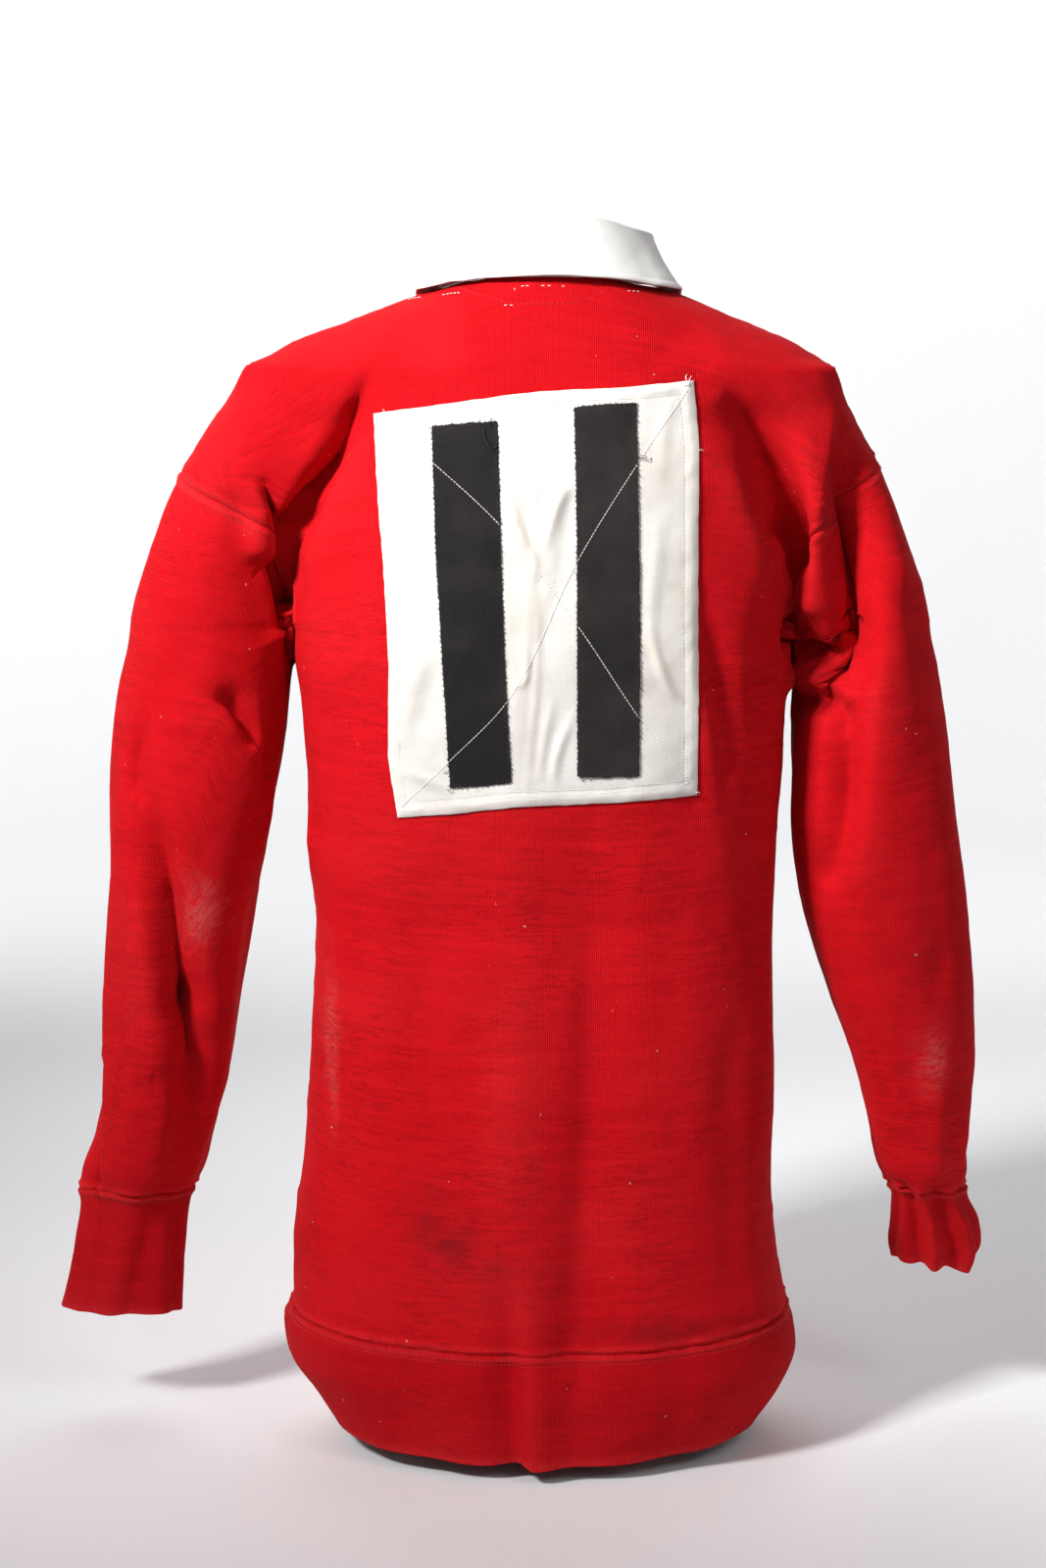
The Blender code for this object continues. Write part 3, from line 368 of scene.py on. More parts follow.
def row_middles(face):
    """Heights of the rows at the centre line."""
    hem, pit, tip, neck = MIDDLE["back" if face > 0 else "front"]
    low = fractions(PIT_Z - HEM_Z, LOW_ROWS, True, False)[:-1]
    high = np.linspace(0, 1, ARM_ROWS + 1)[:-1] * 8 / 11
    top = 8 / 11 + np.linspace(0, 1, TOP_ROWS + 1) * 3 / 11
    t = fractions(0.145, NECK_ROWS, False, True)[1:]
    return np.concatenate([hem + (pit - hem) * low, pit + (tip - pit) * high, pit + (tip - pit) * top, tip + (neck - tip) * t])


def body_panel(face, cols):
    """Grid of a body panel: rows from hem to neck, columns from the wearer's right to left."""
    middle = row_middles(face)
    halves = []
    for side in (-1, 1):
        ends = row_ends(side, face)
        u = np.sin(np.linspace(0, 1, 300) * math.pi / 2)
        x = side * np.abs(ends[:, :1]) * u
        z = middle[:, None] + (ends[:, 2:] - middle[:, None]) * u**2
        y = skin(x, z, face)
        y[:, -1] = ends[:, 1]
        rows = np.stack([x, y, z], -1)
        made = []
        for row in rows:
            length = lengths(row)[-1]
            made.append(at_fractions(row, fractions(length, cols, False, True, 0.42)))
        halves.append(np.array(made))
    halves[0][:, 0] = halves[1][:, 0] = (halves[0][:, 0] + halves[1][:, 0]) / 2
    return np.concatenate([halves[0][:, ::-1], halves[1][:, 1:]], 1)


ARM_FIRST = LOW_ROWS          # the panels' row at the armpit
ARM_LAST = LOW_ROWS + ARM_ROWS


def sleeve(side):
    """Grid of a sleeve: rings from the armhole to the cuff seam, columns round the arm from the armpit by the back."""
    back, back_turn = armholes[side, 1]
    front, front_turn = armholes[side, -1]
    seam = np.concatenate([back, front[::-1][1:-1]])
    turn = np.concatenate([back_turn, front_turn[::-1][1:-1]])       # 180 down to 0 and on to nearly -180
    even = 180 - np.arange(len(seam)) * 360 / len(seam)
    bottom = arm_of(side)["z"][0]
    grid = []
    for t in fractions(0.45, SLEEVE_ROWS, True, True):
        z = seam[:, 2] * (1 - t) + bottom * t
        mixed = turn + (even - turn) * smooth(t / 0.5)
        ring = arm_point(side, z, mixed)
        grid.append(ring)
    grid = np.array(grid)
    share = smooth((grid[..., 2] - PIT_Z) / 0.035)[..., None]
    near = grid[..., 2] > PIT_Z
    moved = grid.copy()
    moved[near] = onto(grid[near])
    grid = grid + (moved - grid) * share
    down = seam[None, :, 2] - grid[..., 2]
    gap = seam - grid[0]
    return grid + gap[None] * (1 - smooth(down / 0.035))[..., None]


def cuff(side):
    """Grid of a cuff, from its seam to its edge, with the columns of the sleeve."""
    table = CUFF_L if side > 0 else CUFF_R
    turns = np.radians(180 - np.arange(2 * ARM_ROWS) * 360 / (2 * ARM_ROWS))
    z = table["z"][0] + (table["z"][-1] - table["z"][0]) * fractions(0.085, CUFF_ROWS, True, True)[:, None]
    outer, inner = read_down(table, "outer", z), read_down(table, "inner", z)
    x = (outer + inner) / 2 + (outer - inner) / 2 * np.cos(turns)
    y = read_down(table, "mid_y", z) + read_down(table, "deep", z) * np.sin(turns)
    return np.stack([side * x, y, z + read_down(table, "lean", z) * np.cos(turns)], -1)


def hem_band(face, cols):
    grid = []
    heights = HEM_BAND["z"][0] + (HEM_BAND["z"][-1] - HEM_BAND["z"][0]) * fractions(0.0875, HEM_ROWS, True, True)
    for z in heights:
        halves = []
        for side in (-1, 1):
            half = float(read_down(HEM_BAND, "half_l" if side > 0 else "half_r", z))
            deep = float(read_down(HEM_BAND, "back" if face > 0 else "front", z))
            rise = float(read_down(HEM_BAND, "rise_b" if face > 0 else "rise_f", z))
            power = float(read_down(HEM_BAND, "power", z))
            x = half * np.sin(np.linspace(0, math.pi / 2, 420))
            y = deep * np.maximum(1 - (x / half) ** power, 0) ** (1 / power)
            row = np.stack([side * x, y, z + rise * (1 - (x / half) ** 2)], -1)
            halves.append(at_fractions(row, fractions(lengths(row)[-1], cols, False, True, 0.42)))
        halves[0][0] = halves[1][0] = (halves[0][0] + halves[1][0]) / 2
        grid.append(np.concatenate([halves[0][::-1], halves[1][1:]]))
    return np.array(grid)


def normals_of(grid, closed):
    rows = np.gradient(grid, axis=0)
    cols = np.roll(grid, -1, 1) - np.roll(grid, 1, 1) if closed else np.gradient(grid, axis=1)
    return unit(np.cross(cols, rows))


grids = {
    "back": body_panel(1, SIDE_COLS),
    "front": body_panel(-1, FRONT_SIDE_COLS),
    "band_back": hem_band(1, SIDE_COLS),
    "band_front": hem_band(-1, FRONT_SIDE_COLS),
}
for side, word in ((1, "left"), (-1, "right")):
    grids["sleeve_" + word] = sleeve(side)
    grids["cuff_" + word] = cuff(side)
    grids["cuff_" + word][0] = grids["sleeve_" + word][-1]
for name in ("back", "front"):
    # The band starts on the panel's own lowest row and takes its own form within 2 cm.
    gap = grids[name][0] - grids["band_" + name][0]
    down = lengths(grids["band_" + name][:, grids[name].shape[1] // 2])
    grids["band_" + name] = grids["band_" + name] + gap[None] * (1 - smooth(down / 0.02))[:, None, None]
CLOSED = {name: name.startswith(("sleeve", "cuff")) for name in grids}


def outward(grids):
    """Outward unit normals of every grid, made equal along the seams."""
    out = {}
    for name, grid in grids.items():
        n = normals_of(grid, CLOSED[name])
        middle = grid.mean((0, 1)) if CLOSED[name] else np.array([0.0, 0.0, grid[..., 2].mean()])
        spread = ((grid - middle)[..., :2] * n[..., :2]).sum(-1)
        out[name] = n * (1 if spread.mean() > 0 else -1)
    for side, word, col in ((1, "left", -1), (-1, "right", 0)):
        sleeve_name = "sleeve_" + word
        ring = out[sleeve_name][0]
        back = out["back"][ARM_FIRST:ARM_LAST + 1, col]
        front = out["front"][ARM_FIRST:ARM_LAST + 1, col]
        body = np.concatenate([back, front[::-1][1:-1]])
        body[0] = unit(back[0] + front[0])
        body[ARM_ROWS] = unit(back[-1] + front[-1])
        ring = unit(ring + body)
        ring[0] = unit(ring[1] + ring[-1] + np.array([0, 0, -1.0]))
        for _ in range(3):
            ring = unit(2 * ring + np.roll(ring, 1, 0) + np.roll(ring, -1, 0))
        out[sleeve_name][0] = ring
        out["back"][ARM_FIRST:ARM_LAST + 1, col] = ring[:ARM_ROWS + 1]
        out["front"][ARM_FIRST:ARM_LAST + 1, col] = np.concatenate([ring[:1], ring[ARM_ROWS:][::-1]])
        both = unit(out[sleeve_name][-1] + out["cuff_" + word][0])
        out[sleeve_name][-1] = out["cuff_" + word][0] = both
        for rows in (slice(0, ARM_FIRST), slice(ARM_LAST + 1, None)):
            both = unit(out["back"][rows, col] + out["front"][rows, col])
            out["back"][rows, col] = out["front"][rows, col] = both
        both = unit(out["band_back"][:, col] + out["band_front"][:, col])
        out["band_back"][:, col] = out["band_front"][:, col] = both
    for name in ("back", "front"):
        both = unit(out[name][0] + out["band_" + name][0])
        out[name][0] = out["band_" + name][0] = both
    return out


normals = outward(grids)

# ---------------------------------------------------------------- noise
LATTICE = np.random.default_rng(23).random((32, 32, 32)) * 2 - 1


def noise(points, size, seed=0.0):
    """Smooth noise from about -1 to 1 with bumps of a size in metres, one number or one each along X, Y and Z."""
    q = points / np.asarray(size) + 17.3 * seed
    i = np.floor(q).astype(int)
    f = q - i
    f = f * f * (3 - 2 * f)
    total = np.zeros(points.shape[:-1])
    for a in (0, 1):
        for b in (0, 1):
            for c in (0, 1):
                w = (f[..., 0] if a else 1 - f[..., 0]) * (f[..., 1] if b else 1 - f[..., 1]) * (f[..., 2] if c else 1 - f[..., 2])
                total += w * LATTICE[(i[..., 0] + a) % 32, (i[..., 1] + b) % 32, (i[..., 2] + c) % 32]
    return total


# ---------------------------------------------------------------- folds
# Each fold runs down through three points of the back or front, in (x, z). depth is how far it lies in, or stands out
# below zero; left and right are its widths as someone looking at that side sees them; start and end are its strength at
# its ends; lip is how far its left side (or right, below zero) leans over it.
FOLD_COLUMNS = ("face", "x1", "z1", "x2", "z2", "x3", "z3", "depth", "left", "right", "start", "end", "lip")
BODY_FOLDS = (
    # behind the wearer's left armpit
    (1, .1150, -.0560, .1530, -.1132, .1850, -.1680, .0230, .0065, .0160, .06, 1.0, .0080),
    (1, .1060, -.0700, .1340, -.1290, .1560, -.1780, -.0046, .0120, .0180, .20, .80, 0),
    (1, .1955, -.1270, .1985, -.1480, .2000, -.1720, -.0105, .0080, .0060, .10, 1.0, 0),
    (1, .1905, -.1290, .1900, -.1470, .1885, -.1660, .0155, .0050, .0060, .20, 1.0, .0055),
    (1, .1529, -.1440, .1615, -.1541, .1692, -.1650, .0034, .0050, .0070, .20, .60, 0),
    (1, .1840, -.1640, .1790, -.2001, .1735, -.2380, .0210, .0080, .0120, .80, .70, .0060),
    (1, .2100, -.1500, .2020, -.1850, .1880, -.2200, .0030, .0090, .0120, .20, .40, 0),
    # the left sleeve
    (1, .2230, -.2740, .2110, -.2800, .1990, -.3000, .0130, .0080, .0110, .15, .90, .0040),
    (1, .2250, -.2850, .2130, -.2960, .1990, -.3100, -.0030, .0080, .0100, .20, .60, 0),
    (1, .1830, -.2700, .1840, -.3200, .1950, -.3700, .0110, .0120, .0100, .40, .60, 0),
    (1, .2752, -.2796, .2788, -.3063, .2815, -.3360, .0070, .0070, .0110, .20, .60, .0020),
    (1, .2440, -.2300, .2520, -.2620, .2560, -.2960, .0024, .0140, .0160, .20, .30, 0),
    (1, .2740, -.3350, .2575, -.4150, .2490, -.4900, .0210, .0165, .0130, .15, 1.0, .0030),
    (1, .2480, -.4915, .2400, -.5250, .2300, -.5500, .0100, .0110, .0110, .80, .20, .0020),
    (1, .2840, -.3700, .2770, -.4400, .2740, -.5300, -.0060, .0180, .0120, .20, .80, 0),
    (1, .3120, -.5395, .3160, -.5868, .3180, -.6300, .0110, .0140, .0050, .20, 1.0, -.0050),
    (1, .2480, -.4900, .2450, -.5500, .2500, -.6150, .0150, .0150, .0160, 1.0, .50, 0),
    (1, .2560, -.5600, .2600, -.5950, .2680, -.6300, .0028, .0080, .0090, .20, .90, 0),
    # behind the right armpit
    (1, -.1187, -.0660, -.1600, -.1150, -.1745, -.1790, .0200, .0200, .0080, .06, 1.0, -.0040),
    (1, -.1000, -.0900, -.1300, -.1380, -.1460, -.1850, -.0044, .0170, .0130, .20, .70, 0),
    (1, -.2040, -.0800, -.1960, -.1600, -.1905, -.2400, .0300, .0065, .0300, .03, 1.0, .0075),
    (1, -.1760, -.0950, -.1835, -.1450, -.1830, -.2100, -.0110, .0140, .0080, .10, .70, 0),
    (1, -.2190, -.0980, -.2120, -.1600, -.2060, -.2300, .0150, .0130, .0200, .20, .90, 0),
    (1, -.1680, -.2300, -.1780, -.2390, -.1900, -.2490, .0190, .0120, .0090, .80, 1.0, 0),
    (1, -.1640, -.1960, -.1800, -.2080, -.1930, -.2180, -.0050, .0100, .0090, .30, .80, 0),
    (1, -.1690, -.2640, -.1868, -.2610, -.2056, -.2720, -.0095, .0085, .0085, .60, .80, 0),
    (1, -.1760, -.2800, -.1900, -.2790, -.2020, -.2890, .0090, .0080, .0090, .50, .60, 0),
    # the right sleeve
    (1, -.2290, -.1724, -.2300, -.2519, -.2200, -.4021, -.0070, .0110, .0210, .20, .40, 0),
    (1, -.2020, -.2760, -.2060, -.3400, -.1980, -.3950, .0130, .0120, .0110, .50, .50, 0),
    (1, -.2297, -.1726, -.2440, -.1880, -.2600, -.1980, -.0022, .0080, .0100, .30, .60, 0),
    (1, -.2330, -.1900, -.2480, -.2120, -.2600, -.2230, .0020, .0080, .0100, .30, .40, 0),
    (1, -.2280, -.4300, -.2460, -.4560, -.2760, -.4700, .0024, .0140, .0150, .30, .50, 0),
    (1, -.2640, -.3300, -.2700, -.4100, -.2790, -.4800, .0026, .0180, .0160, .20, .40, 0),
    (1, -.2480, -.5000, -.2600, -.5450, -.2700, -.6000, .0034, .0140, .0140, .20, .70, 0),
    (1, -.2900, -.5500, -.2920, -.5900, -.2960, -.6250, .0030, .0090, .0100, .20, .90, 0),
    # the torso's back
    (1, -.1075, -.2059, -.1180, -.2617, -.1305, -.3124, .0080, .0110, .0150, .20, .30, 0),
    (1, -.1049, -.2220, -.1098, -.3009, -.1214, -.3826, -.0034, .0100, .0100, .20, .30, 0),
    (1, -.1390, -.2250, -.1450, -.2800, -.1480, -.3400, .0026, .0140, .0140, .20, .40, 0),
    (1, -.0320, -.3587, -.0308, -.5606, -.0209, -.7132, .0080, .0150, .0260, .20, .80, 0),
    (1, .0150, -.3600, .0180, -.5400, .0200, -.7000, -.0050, .0260, .0200, .20, .80, 0),
    (1, .0700, -.3700, .0800, -.4900, .0900, -.6200, .0040, .0220, .0260, .20, .40, 0),
    (1, -.0880, -.3700, -.0860, -.4900, -.0800, -.6200, .0026, .0260, .0240, .20, .40, 0),
    (1, -.1340, -.4300, -.1280, -.5400, -.1320, -.6700, .0026, .0180, .0200, .20, .50, 0),
    (1, .1320, -.4700, .1400, -.5500, .1380, -.6500, .0022, .0160, .0180, .20, .40, 0),
    (1, .1633, -.3481, .1580, -.3763, .1625, -.4104, -.0044, .0120, .0110, .10, .30, 0),
    (1, .1480, -.2700, .1420, -.3200, .1500, -.3700, .0030, .0120, .0140, .20, .40, 0),
    (1, .1240, -.0500, .0900, -.0640, .0600, -.0500, .0014, .0100, .0120, .30, .30, 0),
    (1, -.0900, -.0330, -.0700, -.0470, -.0420, -.0420, .0012, .0100, .0120, .30, .30, 0),
    # the hem band's back
    (1, -.0209, -.7100, -.0197, -.7544, -.0204, -.7970, .0040, .0160, .0220, .50, 1.0, 0),
    (1, .0235, -.6500, .0210, -.7350, .0176, -.7970, .0085, .0150, .0065, .05, 1.0, 0),
    (1, .0095, -.7008, .0070, -.7474, .0056, -.7970, -.0046, .0070, .0160, .20, 1.0, 0),
    (1, .0900, -.7080, .0880, -.7500, .0800, -.7970, .0026, .0180, .0180, .40, .80, 0),
    (1, -.0950, -.7080, -.0930, -.7500, -.0860, -.7970, .0026, .0180, .0180, .40, .80, 0),
    # before the armpits, on the front
    (-1, .1000, -.0950, .1350, -.1350, .1600, -.1750, .0115, .0180, .0100, .10, 1.0, -.0030),
    (-1, .0900, -.1200, .1220, -.1560, .1500, -.1950, -.0030, .0140, .0130, .20, .60, 0),
    (-1, .1950, -.1100, .1960, -.1650, .2020, -.2300, .0100, .0140, .0080, .20, 1.0, -.0030),
    (-1, .1690, -.1700, .1760, -.2050, .1730, -.2430, .0080, .0090, .0110, .50, .70, 0),
    (-1, -.1050, -.0900, -.1400, -.1350, -.1620, -.1780, .0115, .0100, .0170, .10, 1.0, .0030),
    (-1, -.0950, -.1150, -.1250, -.1500, -.1480, -.1900, -.0028, .0130, .0140, .20, .60, 0),
    (-1, -.1940, -.1000, -.1950, -.1600, -.1990, -.2250, .0110, .0080, .0150, .20, 1.0, .0040),
    (-1, -.1700, -.1750, -.1770, -.2100, -.1740, -.2430, .0080, .0110, .0090, .50, .70, 0),
    # the torso's front, which falls freely from the chest
    (-1, .0600, -.3200, .0700, -.4700, .0650, -.7050, .0068, .0180, .0200, .10, .70, 0),
    (-1, -.0700, -.3600, -.0620, -.5200, -.0700, -.7050, .0066, .0200, .0180, .10, .80, 0),
    (-1, .0100, -.3700, .0040, -.5400, .0020, -.7050, -.0040, .0260, .0260, .10, .70, 0),
    (-1, .1200, -.3300, .1260, -.4900, .1200, -.7000, -.0034, .0200, .0200, .20, .60, 0),
    (-1, -.1260, -.3100, -.1300, -.4800, -.1240, -.7000, -.0034, .0200, .0200, .20, .60, 0),
    (-1, .0550, -.0900, .0820, -.1500, .0980, -.2100, .0034, .0160, .0160, .20, .30, 0),
    (-1, -.0600, -.0950, -.0880, -.1500, -.1080, -.2050, .0034, .0160, .0160, .20, .30, 0),
    (-1, .0340, -.2100, .0420, -.2700, .0420, -.3300, .0024, .0160, .0160, .30, .30, 0),
    (-1, -.0380, -.2100, -.0460, -.2800, -.0500, -.3600, .0026, .0160, .0160, .30, .30, 0),
    (-1, .0620, -.7000, .0600, -.7500, .0580, -.7970, .0046, .0160, .0170, .50, 1.0, 0),
    (-1, -.0700, -.7000, -.0680, -.7500, -.0640, -.7970, .0046, .0160, .0170, .50, 1.0, 0),
    (-1, -.0050, -.7000, -.0040, -.7500, -.0040, -.7970, -.0030, .0200, .0200, .50, .80, 0),
    # the sleeves' fronts, bent a little at the elbows
    (-1, .2150, -.2860, .2360, -.2980, .2600, -.3000, .0060, .0090, .0080, .40, .20, 0),
    (-1, .2050, -.3150, .2300, -.3340, .2620, -.3380, .0064, .0090, .0090, .50, .20, 0),
    (-1, .2080, -.3500, .2360, -.3700, .2700, -.3700, .0050, .0100, .0090, .50, .20, 0),
    (-1, .2600, -.4100, .2560, -.4800, .2600, -.5500, .0050, .0140, .0140, .20, .40, 0),
    (-1, .2880, -.5200, .2900, -.5700, .2920, -.6250, .0044, .0110, .0110, .20, .90, 0),
    (-1, -.2050, -.2800, -.2280, -.2950, -.2520, -.2960, .0060, .0080, .0090, .40, .20, 0),
    (-1, -.2000, -.3100, -.2260, -.3320, -.2560, -.3340, .0066, .0090, .0090, .50, .20, 0),
    (-1, -.2050, -.3480, -.2330, -.3680, -.2640, -.3640, .0052, .0090, .0100, .50, .20, 0),
    (-1, -.2480, -.4200, -.2560, -.4900, -.2640, -.5600, .0050, .0140, .0140, .20, .40, 0),
    (-1, -.2780, -.5300, -.2790, -.5750, -.2800, -.6250, .0044, .0110, .0110, .20, .90, 0),
    # over the shoulders
    (-1, .1700, -.0680, .1500, -.0760, .1280, -.0820, .0022, .0100, .0100, .40, .20, 0),
    (-1, -.1750, -.0680, -.1560, -.0780, -.1340, -.0860, .0022, .0100, .0100, .40, .20, 0),
)
# Folds of the sleeves' and cuffs' other sides: they run through three points by turn round the arm and height.
ARM_COLUMNS = ("side", "turn1", "z1", "turn2", "z2", "turn3", "z3", "depth", "left", "right", "start", "end", "lip")
ARM_FOLDS = (
    (1, 10, -.2350, -12, -.2700, -24, -.3100, .0030, .0130, .0150, .30, .30, 0),
    (1, 20, -.3300, 2, -.4000, -8, -.4700, .0034, .0150, .0170, .30, .40, 0),
    (1, -20, -.4900, -6, -.5400, 4, -.6000, .0036, .0130, .0130, .30, .80, 0),
    (1, 176, -.3000, 186, -.3500, 196, -.4000, .0048, .0120, .0130, .40, .30, 0),
    (1, 168, -.4200, 176, -.4800, 184, -.5400, .0040, .0120, .0140, .30, .40, 0),
    (1, 190, -.5500, 180, -.5850, 172, -.6300, .0040, .0090, .0100, .30, .90, 0),
    (-1, 14, -.2300, -10, -.2650, -26, -.3050, .0032, .0130, .0150, .30, .30, 0),
    (-1, 6, -.3500, -4, -.4150, -14, -.4900, .0030, .0150, .0160, .30, .40, 0),
    (-1, -18, -.5100, -4, -.5550, 8, -.6050, .0034, .0130, .0130, .30, .80, 0),
    (-1, 178, -.3050, 188, -.3550, 198, -.4050, .0048, .0120, .0130, .40, .30, 0),
    (-1, 166, -.4300, 176, -.4900, 186, -.5500, .0040, .0120, .0140, .30, .40, 0),
    (-1, 188, -.5600, 180, -.5950, 170, -.6320, .0038, .0090, .0100, .30, .90, 0),
)
# The cuffs' folds, which also start a little above the cuff seams.
CUFF_FOLDS = (
    (1, 118, -.6300, 112, -.6700, 100, -.7340, .0026, .0080, .0110, .40, .60, 0),
    (1, 92, -.6350, 88, -.6800, 80, -.7340, -.0020, .0090, .0110, .30, .80, 0),
    (1, 66, -.6330, 62, -.6750, 58, -.7340, .0022, .0100, .0100, .40, .80, 0),
    (1, 40, -.6360, 36, -.6800, 30, -.7340, .0024, .0080, .0090, .30, .90, 0),
    (1, 146, -.6330, 152, -.6800, 158, -.7340, .0040, .0070, .0080, .40, .80, 0),
    (1, -40, -.6350, -44, -.6800, -48, -.7340, .0040, .0090, .0090, .40, .90, 0),
    (1, -80, -.6350, -84, -.6800, -86, -.7340, -.0030, .0090, .0090, .40, .90, 0),
    (1, -120, -.6350, -118, -.6800, -116, -.7340, .0040, .0080, .0090, .40, .90, 0),
    (-1, 128, -.6330, 124, -.6650, 112, -.7040, .0056, .0060, .0080, .40, .90, 0),
    (-1, 104, -.6330, 100, -.6650, 94, -.7040, -.0044, .0050, .0060, .40, .90, 0),
    (-1, 84, -.6330, 80, -.6650, 72, -.7040, .0052, .0060, .0070, .40, .90, 0),
    (-1, 60, -.6330, 54, -.6700, 40, -.7040, -.0050, .0070, .0060, .40, 1.0, 0),
    (-1, 38, -.6330, 30, -.6700, 20, -.7040, .0046, .0060, .0080, .40, .90, 0),
    (-1, 154, -.6330, 160, -.6650, 164, -.7040, .0036, .0060, .0070, .40, .80, 0),
    (-1, -36, -.6330, -40, -.6700, -44, -.7040, .0040, .0080, .0080, .40, .90, 0),
    (-1, -84, -.6330, -82, -.6700, -80, -.7040, .0040, .0080, .0080, .40, .90, 0),
    (-1, -126, -.6330, -122, -.6700, -118, -.7040, -.0036, .0080, .0080, .40, .90, 0),
)


def bent(row, names):
    """25 points of the quadratic curve through a fold's three points."""
    f = dict(zip(names, row))
    a, b = names[1], names[2]
    t = np.linspace(0, 1, 25)
    made = []
    for k in (1, 2):
        p1, p2, p3 = f[names[k]], f[names[k + 2]], f[names[k + 4]]
        made.append(p1 * (1 - t) ** 2 + (4 * p2 - p1 - p3) * t * (1 - t) + p3 * t**2)
    return f, made[0], made[1]


def cuff_point(side, z, turn):
    table = CUFF_L if side > 0 else CUFF_R
    outer, inner = read_down(table, "outer", z), read_down(table, "inner", z)
    a = np.radians(turn)
    x = (outer + inner) / 2 + (outer - inner) / 2 * np.cos(a)
    y = read_down(table, "mid_y", z) + read_down(table, "deep", z) * np.sin(a)
    return np.stack([side * x, y, z + read_down(table, "lean", z) * np.cos(a)], -1)


def band_y(x, z, face):
    half = np.where(x > 0, read_down(HEM_BAND, "half_l", z), read_down(HEM_BAND, "half_r", z))
    power = read_down(HEM_BAND, "power", z)
    deep = read_down(HEM_BAND, "back" if face > 0 else "front", z)
    return deep * np.maximum(1 - np.abs(x / half) ** power, 0) ** (1 / power)


def arm_skin(x, z, face):
    """y of the arm's section over (x, z) and its outward normal, and whether that place is on the arm below the armpit."""
    side = np.where(x > 0, 1.0, -1.0)
    outer, inner, middle, deep = (
        np.where(x > 0, read(ARM_L, name, z), read(ARM_R, name, z)) for name in ("outer", "inner", "mid_y", "deep")
    )
    wide = (outer - inner) / 2
    u = np.clip((side * x - (outer + inner) / 2) / wide, -0.995, 0.995)
    v = face * np.sqrt(1 - u**2)
    half = np.where(x > 0, read(TORSO, "half_l", z), read(TORSO, "half_r", z))
    outs = unit(np.stack([side * u / wide, v / deep, 0 * u], -1))
    return middle + deep * v, outs, (z < PIT_Z + 0.022) & (np.abs(x) > (inner + half) / 2)


folds = []
for row in BODY_FOLDS:
    f, x, z = bent(row, FOLD_COLUMNS)
    y = np.where(z > HEM_Z, skin(x, np.maximum(z, HEM_Z), f["face"]), band_y(x, np.minimum(z, HEM_Z), f["face"]))
    outs = unit(slope_of(np.stack([x, y, np.maximum(z, HEM_Z)], -1)))
    arm_y, arm_outs, on_arm = arm_skin(x, z, f["face"])
    y, outs = np.where(on_arm, arm_y, y), np.where(on_arm[:, None], arm_outs, outs)
    folds.append((np.stack([x, y, z], -1), outs, f))
for row in ARM_FOLDS:
    f, turn, z = bent(row, ARM_COLUMNS)
    line = arm_point(f["side"], z, turn)
    outs = unit(line - arm_point(f["side"], z, turn + 180.0))
    folds.append((line, outs, f))
for row in CUFF_FOLDS:
    f, turn, z = bent(row, ARM_COLUMNS)
    line = np.where((z > -.6370)[:, None], arm_point(f["side"], np.maximum(z, -.6370), turn), cuff_point(f["side"], np.minimum(z, -.6370), turn))
    outs = unit(np.stack([f["side"] * np.cos(np.radians(turn)), np.sin(np.radians(turn)), 0 * turn], -1))
    folds.append((line, outs, f))


def fold_relief(points, outs):
    """How far the folds move points out along their normals, and how far sideways."""
    height = np.zeros(len(points))
    shift = np.zeros((len(points), 3))
    for line, line_outs, f in folds:
        reach = 2.9 * max(f["left"], f["right"]) + abs(f["lip"])
        low, high = line.min(0) - reach, line.max(0) + reach
        near = np.nonzero(((points > low) & (points < high)).all(-1))[0]
        if not len(near):
            continue
        p, n = points[near], outs[near]
        best = np.full(len(near), 1e9)
        value, face_on, turned = np.zeros(len(near)), np.zeros(len(near)), np.zeros((len(near), 3))
        for j in range(len(line) - 1):
            d = line[j + 1] - line[j]
            s = np.clip(((p - line[j]) @ d) / (d @ d), 0, 1)
            v = p - line[j] - s[:, None] * d
            away = np.linalg.norm(v, axis=-1)
            to_left = unit(np.cross(d, line_outs[j]))
            left = (v @ to_left) > 0
            width = np.where(left, f["left"], f["right"])
            a = away / width
            along = (j + s) / (len(line) - 1)
            strength = np.interp(along, (0, 0.5, 1), (f["start"], 1, f["end"]))
            here = strength * np.exp(-(a**2)) * (1 - 0.16 * a**2)
            closer = away < best
            value = np.where(closer, here, value)
            face_on = np.where(closer, n @ line_outs[j], face_on)
            if f["lip"]:
                high_side = left if f["lip"] > 0 else ~left
                w = f["left"] if f["lip"] > 0 else f["right"]
                b = away / (1.3 * w)
                push = np.where(high_side, b * np.exp(1 - b), 0) * strength
                # The high side leans towards the fold's line.
                turned = np.where(closer[:, None], (-f["lip"]) * push[:, None] * to_left, turned)
            best = np.minimum(best, away)
        facing = smooth((face_on - 0.05) / 0.45)
        height[near] -= f["depth"] * value * facing
        shift[near] += turned * facing[:, None]
    return height, shift


# ---------------------------------------------------------------- seams
def dense(line, step=0.0006, closed=False):
    if closed:
        line = np.concatenate([line, line[:1]])
    total = lengths(line)[-1]
    return at_fractions(line, np.linspace(0, 1, int(total / step) + 2))


ROUND = {1: "left", -1: "right"}
seams = {}
for side, col in ((1, -1), (-1, 0)):
    word = ROUND[side]
    seams["armhole_" + word] = dense(grids["sleeve_" + word][0], closed=True)
    seams["cuff_" + word] = dense(grids["sleeve_" + word][-1], closed=True)
    seams["side_" + word] = dense(np.concatenate([grids["band_back"][::-1, col], grids["back"][1:ARM_FIRST + 1, col]]))
    seams["shoulder_" + word] = dense(grids["back"][ARM_LAST:, col])
seams["hem"] = dense(np.concatenate([grids["band_back"][0], grids["band_front"][0][::-1]]), closed=True)


